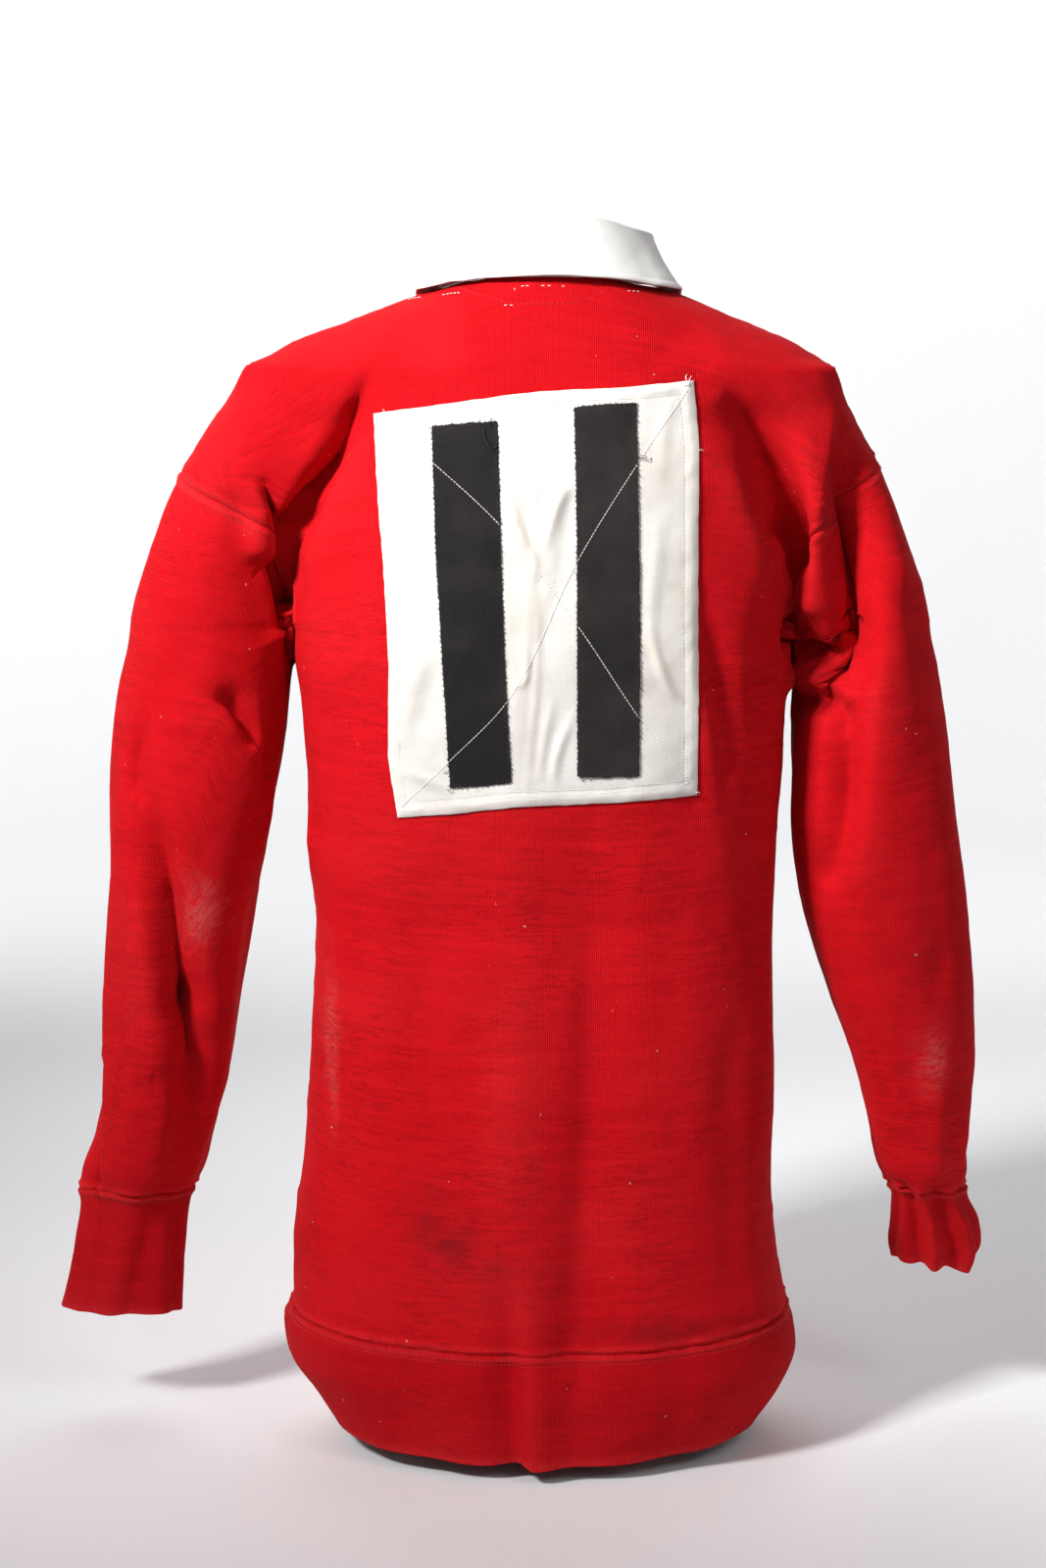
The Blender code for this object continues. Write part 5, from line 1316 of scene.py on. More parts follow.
def through_points(points, count):
    """count + 1 points, evenly spaced, on a smooth curve through a few points in (x, z)."""
    points = np.array(points, float)
    along = np.concatenate([[0], np.cumsum(np.linalg.norm(np.diff(points, axis=0), axis=-1))])
    at = np.linspace(0, along[-1], count + 1)
    return np.stack([through(along, points[:, k], at) for k in range(2)], -1)


def sheet_between(top, bottom, left, right, rows, cols):
    """Grid of (x, z) between four curved edges. Rows run from the top down, columns from left to right."""
    t, b = through_points(top, cols), through_points(bottom, cols)
    l, r = through_points(left, rows), through_points(right, rows)
    u = np.linspace(0, 1, cols + 1)[None, :, None]
    v = np.linspace(0, 1, rows + 1)[:, None, None]
    flat = (1 - v) * t[None] + v * b[None] + (1 - u) * l[:, None] + u * r[:, None]
    corners = (1 - v) * (1 - u) * t[0] + (1 - v) * u * t[-1] + v * (1 - u) * b[0] + v * u * b[-1]
    return flat - corners


# The number patch's edges in (x, z), as seen from behind.
PATCH_TOP = ((.1120, -.0818), (.0670, -.0761), (.0348, -.0717), (.0040, -.0679), (-.0552, -.0647), (-.0992, -.0601))
PATCH_BOTTOM = ((.0969, -.3495), (.0547, -.3452), (.0123, -.3404), (-.0430, -.3386), (-.1029, -.3346))
PATCH_LEFT = ((.1120, -.0818), (.1094, -.1320), (.1046, -.1961), (.1022, -.2544), (.1030, -.3007), (.0969, -.3495))
PATCH_RIGHT = ((-.0992, -.0601), (-.1026, -.1063), (-.1021, -.1961), (-.1028, -.2610), (-.1029, -.3346))
# Creases of the patch: ridges and hollows through three points, height and half width.
CREASES = (
    (.0046, -.0690, .0058, -.1461, .0053, -.2000, .0010, .0022),
    (.0053, -.2000, .0040, -.2480, .0120, -.3390, .0009, .0024),
    (.0239, -.1321, .0162, -.1576, .0021, -.1850, .0026, .0042),
    (-.0171, -.1302, -.0075, -.1442, .0045, -.1831, .0028, .0046),
    (-.0110, -.1250, -.0060, -.1650, .0010, -.2200, .0018, .0060),
    (.0120, -.1650, .0090, -.2100, .0110, -.2560, .0016, .0050),
    (.0123, -.2363, .0110, -.2519, .0162, -.2600, .0018, .0022),
    (-.0708, -.2206, -.0788, -.2525, -.0908, -.2700, .0024, .0034),
    (-.0760, -.1600, -.0720, -.2000, -.0710, -.2300, .0012, .0050),
    (-.0193, -.2799, -.0097, -.3050, -.0078, -.3239, .0018, .0032),
    (-.0060, -.2700, -.0010, -.2950, .0020, -.3200, .0012, .0030),
    (.0729, -.2207, .0875, -.2684, .0960, -.3050, .0024, .0080),
    (.0900, -.3180, .0780, -.3230, .0640, -.3290, .0016, .0040),
    (.0900, -.1200, .0880, -.1600, .0860, -.2000, .0010, .0060),
    (.0400, -.0740, .0380, -.0790, .0330, -.0850, .0012, .0024),
    (-.0880, -.0720, -.0800, -.0900, -.0780, -.1200, .0010, .0050),
)


def crease_height(x, z):
    made = np.zeros(x.shape)
    t = np.linspace(0, 1, 20)
    for x1, z1, x2, z2, x3, z3, high, wide in CREASES:
        px = x1 * (1 - t) ** 2 + (4 * x2 - x1 - x3) * t * (1 - t) + x3 * t**2
        pz = z1 * (1 - t) ** 2 + (4 * z2 - z1 - z3) * t * (1 - t) + z3 * t**2
        best, value = np.full(x.shape, 1e9), np.zeros(x.shape)
        for j in range(19):
            dx, dz = px[j + 1] - px[j], pz[j + 1] - pz[j]
            s = np.clip(((x - px[j]) * dx + (z - pz[j]) * dz) / (dx * dx + dz * dz), 0, 1)
            away = np.hypot(x - px[j] - s * dx, z - pz[j] - s * dz)
            strength = np.sin(np.clip((j + s) / 19, 0.04, 0.96) * math.pi) ** 0.6
            value = np.where(away < best, strength * np.exp(-((away / wide) ** 2)), value)
            best = np.minimum(best, away)
        made += high * value
    return made


def laid_sheet(xz, tree, lift, extra, thick, smoothing, face=1):
    """(outer grid, normals) of a sheet that lies over a cloth at (x, z), bridging its narrow hollows."""
    shape = xz.shape[:2]
    p, _ = lay(xz[..., 0], xz[..., 1], tree, face)
    y = p[:, 1].reshape(shape)
    over = np.maximum(blur(y * face, smoothing), y * face) + lift + thick + extra
    grid = np.stack([xz[..., 0], over * face, xz[..., 1]], -1)
    n = normals_of(grid, False)
    return grid, n * np.sign((n[..., 1] * face).mean())


back_tree = tree_of(final["back"])
rows, cols = 150, 112
xz = sheet_between(PATCH_TOP, PATCH_BOTTOM, PATCH_LEFT, PATCH_RIGHT, rows, cols)
at = np.stack([xz[..., 0], 0 * xz[..., 0], xz[..., 1]], -1)
xz = xz + 0.0004 * np.stack([noise(at, 0.006, 14), noise(at, 0.006, 15)], -1)
edge_u = np.minimum(np.arange(cols + 1), cols - np.arange(cols + 1))[None, :] * 0.0019
edge_v = np.minimum(np.arange(rows + 1), rows - np.arange(rows + 1))[:, None] * 0.0019
hem_in = np.minimum(edge_u, edge_v)
turned = 0.0003 * (1 - smooth((hem_in - 0.0075) / 0.0016))          # the turned-in edge lies double
sewn = -0.00045 * np.exp(-(((hem_in - 0.0085) / 0.0016) ** 2))
puckers = 0.0006 * (0.6 + noise(at, 0.0075, 16)) * np.exp(-(((hem_in - 0.004) / 0.006) ** 2))
extra = 0.0009 + crease_height(xz[..., 0], xz[..., 1]) + turned + sewn + puckers + 0.0005 * noise(at, 0.030, 17) + 0.00025 * noise(at, 0.010, 18)
extra = np.maximum(extra, 0.0002)
# It is sewn down along its edges and along two diagonals.
patch_thick = 0.0007
patch_grid, patch_outs = laid_sheet(xz, back_tree, 0.0004, extra * smooth(hem_in / 0.006 + 0.25), patch_thick, 5)
patch_uv = metric_uv(patch_grid, False)
# The patch's tan is real toning in its blots and along its edges, and painted shade along its raised creases.
patch_values = {
    "tan": np.clip(blots(PATCH_BLOTS, "tan", patch_grid, False) + 0.30 * np.exp(-((hem_in / 0.006) ** 2)) + 0.5 * np.clip(crease_height(xz[..., 0], xz[..., 1]) / 0.003, 0, 1), 0, 1),
    "grey": blots(PATCH_BLOTS, "grey", patch_grid, False),
}
patch = shell("patch_calico", patch_grid, patch_outs, False, patch_thick, patch_uv, (0, 1, 2), calico, ["number_patch"], patch_values)
patch_tree = tree_of(patch_grid)

# The bars: corners in (x, z) going round from the top left as seen from behind.
bars = {}
for word, corners in (
    ("left", ((.0729, -.0902), (.0303, -.0870), (.0212, -.3240), (.0615, -.3278))),
    ("right", ((-.0204, -.0781), (-.0608, -.0749), (-.0635, -.3205), (-.0230, -.3200))),
):
    tl, tr, br, bl = (np.array(c) for c in corners)
    bow = 0.0012 if word == "left" else -0.0008
    left = [tl, (tl * 2 + bl) / 3 + (bow, 0), (tl + bl * 2) / 3 + (bow * 0.4, 0), bl]
    right = [tr, (tr * 2 + br) / 3 + (bow * 0.7, 0), (tr + br * 2) / 3 + (bow, 0), br]
    b_rows, b_cols = 140, 26
    xz = sheet_between([tl, (tl + tr) / 2 + (0, .0004), tr], [bl, (bl + br) / 2 + (0, -.0005), br], left, right, b_rows, b_cols)
    at = np.stack([xz[..., 0], 0 * xz[..., 0], xz[..., 1]], -1)
    rim = np.minimum(np.minimum(np.arange(b_cols + 1), b_cols - np.arange(b_cols + 1))[None, :], np.minimum(np.arange(b_rows + 1), b_rows - np.arange(b_rows + 1))[:, None])
    ragged = (rim == 0) * 0.00045 + (rim == 1) * 0.0002
    xz = xz + ragged[..., None] * np.stack([noise(at, 0.0022, 19), noise(at, 0.0022, 20)], -1)
    held_down = 0.00035 * (0.5 + 0.5 * noise(at, 0.0042, 21)) * (rim <= 2)
    extra = 0.0003 + 0.0004 * noise(at, 0.016, 22) - held_down * 0.8 + 0.00015 * noise(at, 0.006, 24)
    grid, outs = laid_sheet(xz, patch_tree, 0.0002, np.maximum(extra, 0.0), 0.0006, 4)
    uv = metric_uv(grid, False)
    values = {"dust": np.clip(0.35 * np.exp(-rim / 1.5) + (0.0 if word == "left" else 0.70) + 0.4 * noise(grid, 0.02, 25), 0, 1)}
    bars[word] = (shell("bar_%s_twill" % word, grid, outs, False, 0.0006, uv, (0, 1, 2), twill, ["number_bar_" + word], values), grid, outs)


# ---------------------------------------------------------------- stitches
chance = np.random.default_rng(7)


class Threads:
    """Stitches gathered into one mesh: each is a short four-sided thread with pointed ends that sink into the cloth."""

    def __init__(self):
        self.verts, self.faces = [], []

    def one(self, a, b, out, radius, rise, sink):
        """A stitch from a to b over a surface whose outward normal is out."""
        along = unit(b - a)
        side = unit(np.cross(along, out))
        up = unit(np.cross(side, along))
        base = len(self.verts)
        self.verts.append(a - up * sink)
        for f in (0.22, 0.78):
            centre = a + (b - a) * f + up * rise
            for k in range(4):
                t = math.pi * (k / 2 + 0.25)
                self.verts.append(centre + radius * (math.cos(t) * side + math.sin(t) * up))
        self.verts.append(b - up * sink)
        for k in range(4):
            n = (k + 1) % 4
            self.faces.append((base, base + 1 + n, base + 1 + k))
            self.faces.append((base + 1 + k, base + 1 + n, base + 5 + n, base + 5 + k))
            self.faces.append((base + 5 + k, base + 5 + n, base + 9))

    def row(self, points, outs, pitch, length, radius, rise=0.0001, sink=0.0003, loose=0.08, keep=None):
        """Stitches end to end along a close line of points."""
        along = lengths(points)
        count = int(along[-1] / pitch)
        at = (np.arange(count) + 0.5 + loose * (chance.random(count) - 0.5)) * along[-1] / count
        size = length * (1 + loose * (chance.random(count) - 0.5))
        for s, long in zip(at, size):
            ends = []
            for q in (s - long / 2, s + long / 2):
                ends.append(np.array([np.interp(q, along, points[:, k]) for k in range(3)]))
            out = unit(np.array([np.interp(s, along, outs[:, k]) for k in range(3)]))
            if keep is not None and not keep(np.interp(s, along, np.arange(len(points)))):
                continue
            side = unit(np.cross(ends[1] - ends[0], out))
            sway = side * radius * 0.5 * (chance.random() - 0.5)
            self.one(ends[0] + sway, ends[1] - sway, out, radius, rise, sink)

    def strand(self, points, radius):
        """A loose end: a long four-sided thread through a curve of points, with pointed ends."""
        p = np.asarray(points, float)
        base, count = len(self.verts), len(p)
        ahead = unit(np.gradient(p, axis=0))
        side = unit(np.cross(ahead, np.array([0.03, 1.0, 0.05])))
        up = unit(np.cross(side, ahead))
        for j in range(1, count - 1):
            for k in range(4):
                t = math.pi * (k / 2 + 0.25)
                self.verts.append(p[j] + radius * (math.cos(t) * side[j] + math.sin(t) * up[j]))
        self.verts += [p[0], p[-1]]
        first, last = base + 4 * (count - 2), base + 4 * (count - 2) + 1
        for k in range(4):
            n = (k + 1) % 4
            self.faces.append((first, base + n, base + k))
            for j in range(count - 3):
                a = base + 4 * j
                self.faces.append((a + k, a + n, a + 4 + n, a + 4 + k))
            a = base + 4 * (count - 3)
            self.faces.append((a + k, a + n, last))

    def piece(self, name, mat, slot):
        return plain_mesh(name, np.array(self.verts), self.faces, mat)


def nearest(points, tree, outward_like=None):
    """Points moved onto a surface, and its normals there."""
    made, outs = [], []
    for k, p in enumerate(points):
        hit, n, _, _ = tree.find_nearest(Vector(p))
        made.append(hit)
        outs.append(n)
    made, outs = np.array(made), np.array(outs)
    if outward_like is not None:
        outs = outs * np.sign((outs * outward_like).sum(-1, keepdims=True))
    return made, outs


def along_row(name, offset, first_col=0, last_col=None, up=True):
    """(points, outs) of a line that runs a distance from a piece's first row."""
    grid, outs = final[name], final_outs[name]
    cols = range(grid.shape[1])[first_col:last_col]
    points, normals_ = [], []
    for c in cols:
        line = grid[:, c]
        at = lengths(line[:60])
        points.append([np.interp(offset, at, line[:60, k]) for k in range(3)])
        normals_.append([np.interp(offset, at, outs[:60, c, k]) for k in range(3)])
    points, normals_ = np.array(points), np.array(normals_)
    if CLOSED[name]:
        points, normals_ = np.concatenate([points, points[:1]]), np.concatenate([normals_, normals_[:1]])
    return resampled(points, normals_)


def resampled(points, outs, step=0.0008):
    along = lengths(points)
    at = np.linspace(0, along[-1], int(along[-1] / step) + 2)
    return (
        np.stack([np.interp(at, along, points[:, k]) for k in range(3)], -1),
        unit(np.stack([np.interp(at, along, outs[:, k]) for k in range(3)], -1)),
    )


# Red machine stitches on the seams: two rows below the hem seam and beside each armhole, one round each cuff.
red = Threads()
for name in ("band_back", "band_front"):
    for offset in (0.0042, 0.0072):
        p, n = along_row(name, offset)
        red.row(p, n, 0.0029, 0.0024, 0.00026, 0.00012)
for word in ("left", "right"):
    for offset in (0.0046,):
        p, n = along_row("sleeve_" + word, offset)
        red.row(p, n, 0.0030, 0.0024, 0.00026, 0.00010)
    for offset in (0.0040, 0.0066):
        p, n = along_row("cuff_" + word, offset)
        red.row(p, n, 0.0029, 0.0024, 0.00026, 0.00012)
for name in ("back", "front"):
    grid, outs = final[name], final_outs[name]
    for col, step in ((0, 1), (-1, -1)):
        # Rows that end at the armhole, a little way in from it.
        rows = slice(ARM_FIRST + 3, ARM_LAST - 2)
        points, ns = [], []
        for r in range(*rows.indices(grid.shape[0])):
            line = grid[r][::step][:14]
            at = lengths(line)
            points.append([np.interp(0.0050, at, line[:, k]) for k in range(3)])
            ns.append([np.interp(0.0050, at, outs[r][::step][:14][:, k]) for k in range(3)])
        p, n = resampled(np.array(points), np.array(ns))
        red.row(p, n, 0.0030, 0.0024, 0.00026, 0.00010)
# A half moon of red cloth is felled behind the neck, with a small rectangle of stitches in it.
HALF_MOON = ((.0560, .0016), (.0440, -.0034), (.0350, -.0060), (.0253, -.0088), (.0110, -.0098), (-.0038, -.0098), (-.0232, -.0088), (-.0376, -.0030), (-.0440, .0016))
NECK_BOX = ((.0272, .0012), (.0272, -.0107), (-.0186, -.0108), (-.0187, .0012))
path = through_points(HALF_MOON, 160)
p, n = lay(path[:, 0], path[:, 1], back_tree)
red.row(p, n, 0.0034, 0.0026, 0.00030, 0.00015)
for a, b in zip(NECK_BOX[:-1], NECK_BOX[1:]):
    path = through_points((a, b), 60)
    p, n = lay(path[:, 0], path[:, 1], back_tree)
    red.row(p, n, 0.0030, 0.0020, 0.00024, 0.0001, loose=0.3)
red.piece("stitches_red", red_thread, "jersey")

# White machine stitches: two rows round the patch, two diagonals across it, and short ends behind the neck.
white = Threads()


def patch_line(inset, start=0.0):
    """A line that runs round the patch, a distance in from its edge."""
    r, c = patch_grid.shape[:2]
    width = np.linalg.norm(patch_grid[r // 2, -1] - patch_grid[r // 2, 0])
    height_ = np.linalg.norm(patch_grid[-1, c // 2] - patch_grid[0, c // 2])
    i, j = inset / width * (c - 1), inset / height_ * (r - 1)
    corners = ((j, i), (j, c - 1 - i), (r - 1 - j, c - 1 - i), (r - 1 - j, i), (j, i))
    made = []
    for (j1, i1), (j2, i2) in zip(corners[:-1], corners[1:]):
        t = np.linspace(0, 1, 260)
        jj, ii = j1 + (j2 - j1) * t, i1 + (i2 - i1) * t
        made.append((jj, ii))
    jj, ii = np.concatenate([m[0] for m in made]), np.concatenate([m[1] for m in made])
    jj = jj + 0.20 * np.sin(np.arange(len(jj)) / 31.0)
    a, b = np.floor(jj).astype(int).clip(0, r - 2), np.floor(ii).astype(int).clip(0, c - 2)
    f, g = (jj - a)[:, None], (ii - b)[:, None]

    def at(values):
        return (values[a, b] * (1 - f) + values[a + 1, b] * f) * (1 - g) + (values[a, b + 1] * (1 - f) + values[a + 1, b + 1] * f) * g

    return resampled(at(patch_grid), at(patch_outs))


for inset in (0.0074, 0.0104):
    p, n = patch_line(inset)
    white.row(p, n, 0.0025, 0.0020, 0.00022, 0.00006)
DIAGONALS = (
    ((.1030, -.0883), (.0702, -.1157), (.0271, -.1557), (-.0236, -.2215), (-.0640, -.2823), (-.0975, -.3270)),
    ((-.0950, -.0665), (-.0622, -.1138), (-.0236, -.1755), (.0220, -.2675), (.0617, -.3099), (.0945, -.3420)),
)
bar_trees = {word: tree_of(bars[word][1]) for word in bars}


def top_hit(x, z):
    """Where the outermost of the patch and its bars is at (x, z)."""
    best = None
    for tree in (patch_tree, bar_trees["left"], bar_trees["right"]):
        hit, n, _, _ = tree.ray_cast(Vector((x, 0.3, z)), Vector((0, -1, 0)))
        if hit is not None and (best is None or hit.y > best[0].y):
            best = (hit, n if n.y > 0 else -n)
    return best


for diagonal in DIAGONALS:
    path = through_points(diagonal, 420)
    found = [top_hit(a, b) for a, b in path]
    found = [f for f in found if f is not None]
    p, n = np.array([f[0] for f in found]), np.array([f[1] for f in found])
    white.row(p, n, 0.0024, 0.0021, 0.00032, 0.00016, 0.0001)
# Short white ends left behind the neck.
for x1, z1, x2, z2 in (
    (.0150, .0014, .0090, .0016), (.0020, .0016, -.0060, .0016), (-.0110, .0015, -.0160, .0013), (.0268, -.0112, .0190, -.0113),
    (-.0560, -.0010, -.0650, -.0016), (.0917, -.0052, .0820, -.0040), (.0675, -.0034, .0550, -.0022), (.0190, .0012, .0186, -.0020),
):
    path = through_points(((x1, z1), ((x1 + x2) / 2, (z1 + z2) / 2 + .0003), (x2, z2)), 12)
    p, n = lay(path[:, 0], path[:, 1], back_tree)
    white.row(p, n, 0.0030, 0.0025, 0.00026, 0.0002)


def strand_over(pairs, lift, count=14):
    """A loose strand's points over the patch and bars: (x, z) pairs, lifted off by a few tenths of a millimetre."""
    path = through_points(pairs, count)
    made = []
    for k, (a, b) in enumerate(path):
        hit = top_hit(a, b)
        if hit is None:
            h, _ = lay([a], [b], back_tree)
            y = h[0][1] + 0.002
        else:
            y = hit[0].y
        made.append((a, y + lift * math.sin(math.pi * min(1.0, (k + 0.6) / count)) + 0.0002, b))
    return np.array(made)


# A frayed white end at the patch's upper corner, and small ones at two others.
white.strand(strand_over(((-.0925, -.0640), (-.0945, -.0605), (-.0938, -.0580), (-.0950, -.0560)), 0.0020), 0.00030)
white.strand(strand_over(((-.0955, -.0640), (-.0962, -.0600), (-.0980, -.0570)), 0.0016), 0.00024)
white.strand(strand_over(((.1050, -.0830), (.1048, -.0806), (.1058, -.0790)), 0.0010), 0.00024)
white.strand(strand_over(((-.1020, -.1060), (-.1048, -.1055), (-.1058, -.1068)), 0.0010), 0.00024)
white.strand(strand_over(((-.1015, -.3330), (-.1040, -.3325), (-.1046, -.3345)), 0.0010), 0.00024)
white.piece("stitches_white", white_thread, "calico")

# Black overcasting round the bars: short stitches over the raw edge, with frayed ends.
black = Threads()
for word in ("left", "right"):
    grid, outs = bars[word][1], bars[word][2]
    ring = np.concatenate([grid[0, :-1], grid[:-1, -1], grid[-1, :0:-1], grid[:0:-1, 0], grid[0, :1]])
    ring_outs = np.concatenate([outs[0, :-1], outs[:-1, -1], outs[-1, :0:-1], outs[:0:-1, 0], outs[0, :1]])
    p, n = resampled(ring, ring_outs, 0.0004)
    along = lengths(p)
    middle = grid.mean((0, 1))
    count = int(along[-1] / 0.0036)
    for k in range(count):
        s = (k + 0.5 + 0.25 * (chance.random() - 0.5)) * along[-1] / count
        j = int(np.clip(np.searchsorted(along, s), 1, len(p) - 2))
        ahead, out = unit(p[j + 1] - p[j - 1]), n[j]
        outwards = unit(np.cross(ahead, out))
        if outwards @ (p[j] - middle) < 0:
            outwards = -outwards
        lean = ahead * 0.0006 * (chance.random() - 0.3)
        a = p[j] + outwards * (0.0011 + 0.0005 * chance.random()) - out * 0.0008
        b = p[j] - outwards * (0.0016 + 0.0006 * chance.random()) + lean
        black.one(a, b, out, 0.00034, 0.00045, 0.0001)
        if chance.random() < 0.42:
            long = 0.0010 + 0.0022 * chance.random() ** 2
            q = p[j] + ahead * 0.0010
            tip = q + outwards * long + ahead * 0.0012 * (chance.random() - 0.5) + out * 0.0003
            black.strand([q - outwards * 0.0005, q, (q + tip) / 2 + out * 0.0004, tip], 0.00016)
black.strand(strand_over(((.0375, -.0900), (.0395, -.0945), (.0370, -.1005), (.0335, -.1042), (.0310, -.1030), (.0300, -.0990)), 0.0024, 22), 0.00026)
black.strand(strand_over(((.0345, -.0900), (.0352, -.0870), (.0338, -.0846)), 0.0016, 10), 0.00026)
black.strand(strand_over(((.0395, -.0895), (.0420, -.0870), (.0412, -.0852)), 0.0012, 10), 0.00020)
black.strand(strand_over(((-.0610, -.1100), (-.0655, -.1106), (-.0690, -.1120), (-.0712, -.1104)), 0.0022, 16), 0.00028)
black.strand(strand_over(((-.0615, -.1095), (-.0650, -.1090), (-.0678, -.1096)), 0.0016, 12), 0.00022)
black.strand(strand_over(((.0620, -.3180), (.0645, -.3170), (.0662, -.3185)), 0.0014, 10), 0.00022)
black.strand(strand_over(((.0600, -.3280), (.0625, -.3298), (.0640, -.3290)), 0.0014, 10), 0.00022)
black.strand(strand_over(((-.0245, -.3200), (-.0255, -.3225), (-.0272, -.3240)), 0.0012, 10), 0.00024)
black.strand(strand_over(((.0730, -.0905), (.0750, -.0912), (.0762, -.0900)), 0.0012, 10), 0.00022)
black.piece("stitches_black", black_thread, "twill")

# ---------------------------------------------------------------- collar
# The neckline as one loop, from the front middle round the back to the front middle, taken from the cloth's own edge.
back_mid, front_mid = SIDE_COLS, FRONT_SIDE_COLS
neck_back, neck_front = final["back"][-1], final["front"][-1]
neck = np.concatenate([neck_front[front_mid::-1], neck_back[1:], neck_front[::-1][1:front_mid + 1]])
neck = at_fractions(neck, np.linspace(0, 1, 321))
for _ in range(6):
    neck[1:-1] = (neck[:-2] + 2 * neck[1:-1] + neck[2:]) / 4
centre = np.array([(neck[:, 0].max() + neck[:, 0].min()) / 2, 0.014, 0.0])
turns = np.degrees(np.arctan2(neck[:, 0] - centre[0], neck[:, 1] - centre[1]))
UP = np.array([0.0, 0.0, 1.0])
ROLL, LEAF = 0.0042, 34
frames = []
for k in range(1, len(neck) - 1):
    t = abs(turns[k])
    if t > COLLAR["turn"][-1] + 1:
        continue
    ahead = unit((neck[k + 1] - neck[k - 1]) * np.array([1, 1, 0]))
    away = np.array([ahead[1], -ahead[0], 0.0])
    if away @ (neck[k] - centre) < 0:
        away = -away
    toward_back = ahead if ahead[1] * math.cos(math.radians(t)) >= 0 else -ahead
    toward_back = np.array([math.copysign(abs(toward_back[0]), neck[k][0]), abs(toward_back[1]), 0.0])
    frames.append((neck[k], away, toward_back, t, turns[k]))
collar_rows = []
for p, away, toward_back, t, turn in frames:
    stand, lean, drop, spread, slide = (
        float(read(COLLAR, column, t, "turn")) for column in ("stand", "lean", "drop", "spread", "slide")
    )
    foot = p + UP * 0.0006 - away * 0.0004
    fold = foot + UP * stand + away * lean
    section = [foot + (fold - foot) * f for f in np.linspace(0, 1, 16)[:-1]]
    # The roll at the top: half an oval from the stand over to the leaf.
    for f in np.linspace(0, 1, 12):
        a = math.pi * (1 - f)
        section.append(fold + away * (ROLL / 2 + ROLL / 2 * math.cos(a)) + UP * 0.0030 * math.sin(a))
    for f in np.linspace(0, 1, LEAF)[1:]:
        section.append(
            fold + away * (ROLL + spread * (0.6 * f + 0.4 * f * f)) - UP * drop * f + toward_back * slide * f
        )
    collar_rows.append(section)
collar_grid = np.array(collar_rows)
collar_grid = np.swapaxes(collar_grid, 0, 1)          # rows from the foot over the roll to the leaf's edge
collar_outs = normals_of(collar_grid, False)
if collar_outs[-1, collar_grid.shape[1] // 2, 1] < 0:
    collar_outs = -collar_outs
flat = collar_grid.reshape(-1, 3)
leaf = np.clip((np.arange(collar_grid.shape[0]) - 20) / (collar_grid.shape[0] - 21), 0, 1)[:, None] + 0 * collar_grid[..., 0]
ripple = 0.0009 * noise(flat, (0.030, 0.030, 0.060), 31).reshape(leaf.shape) + 0.0004 * noise(flat, 0.012, 32).reshape(leaf.shape)
edge_in = lengths(collar_grid[::-1, collar_grid.shape[1] // 2])[::-1][:, None]
end_in = np.minimum(lengths(collar_grid[-1])[None, :], lengths(collar_grid[-1])[-1] - lengths(collar_grid[-1])[None, :])
hem_line = np.minimum(edge_in, end_in)
pressed = -0.00035 * np.exp(-(((hem_line - 0.0052) / 0.0013) ** 2)) + 0.00025 * np.exp(-(((hem_line - 0.0020) / 0.0020) ** 2))
collar_grid = collar_grid + collar_outs * (ripple * (0.25 + 0.75 * leaf) + pressed * smooth(leaf * 3))[..., None]
collar_outs = normals_of(collar_grid, False)
if collar_outs[-1, collar_grid.shape[1] // 2, 1] < 0:
    collar_outs = -collar_outs
collar_uv = metric_uv(collar_grid, False)
collar_values = {"tan": np.clip(0.5 * np.exp(-((hem_line / 0.004) ** 2)) + 0.35 * np.clip(noise(flat, 0.03, 33), 0, 1).reshape(leaf.shape), 0, 1)}
collar = shell("collar_drill", collar_grid, collar_outs, False, COLLAR_CLOTH, collar_uv, (1, 2), drill, ["collar"], collar_values)
white_edge = Threads()
r = collar_grid.shape[0]
points, outs = [], []
for c in range(8, collar_grid.shape[1] - 8):
    line = collar_grid[::-1, c][:30]
    at = lengths(line)
    points.append([np.interp(0.0052, at, line[:, k]) for k in range(3)])
    outs.append([np.interp(0.0052, at, collar_outs[::-1, c][:30][:, k]) for k in range(3)])
p, n = resampled(np.array(points), np.array(outs))
white_edge.row(p, n, 0.0025, 0.0020, 0.00022, 0.00008)
# The collar's lower edge is felled over the neckline with a row of stitches.
points = np.array([f[0] for f in frames])
foot_p, foot_n = resampled(points, np.array([f[1] for f in frames]))
white_edge.row(foot_p - foot_n * 0.0001 + UP * 0.0036, foot_n, 0.0026, 0.0020, 0.00022, 0.00008)

# A narrow tape of the collar's own cloth shows below the stand, over the neck seam.
TAPE_DROP = 0.0048
tape_rows, tape_outs_rows = [], []
keep = [k for k, f in enumerate(frames) if f[3] < 62]
for f in np.linspace(0, 1, 9):
    row, row_out = [], []
    for k in keep:
        p, away, _, t, _ = frames[k]
        ease = smooth((62 - t) / 6)
        target = p + UP * (0.0024 - TAPE_DROP * f * ease)
        hit, n, _, _ = back_tree.find_nearest(Vector(target))
        n = np.array(n)
        n = n if n @ away > 0 else -n
        outward_n = unit(n * smooth(f * 1.4) + away * (1 - smooth(f * 1.4)))
        base = np.array(hit) if f > 0.35 else target * (1 - f / 0.35) + np.array(hit) * (f / 0.35)
        row.append(base + outward_n * 0.0013)
        row_out.append(outward_n)
    tape_rows.append(row)
    tape_outs_rows.append(row_out)
tape_grid, tape_outs = np.array(tape_rows), np.array(tape_outs_rows)
tape = shell("neck_tape_drill", tape_grid, tape_outs, False, 0.0009, metric_uv(tape_grid, False), (0, 1, 2), drill, [])

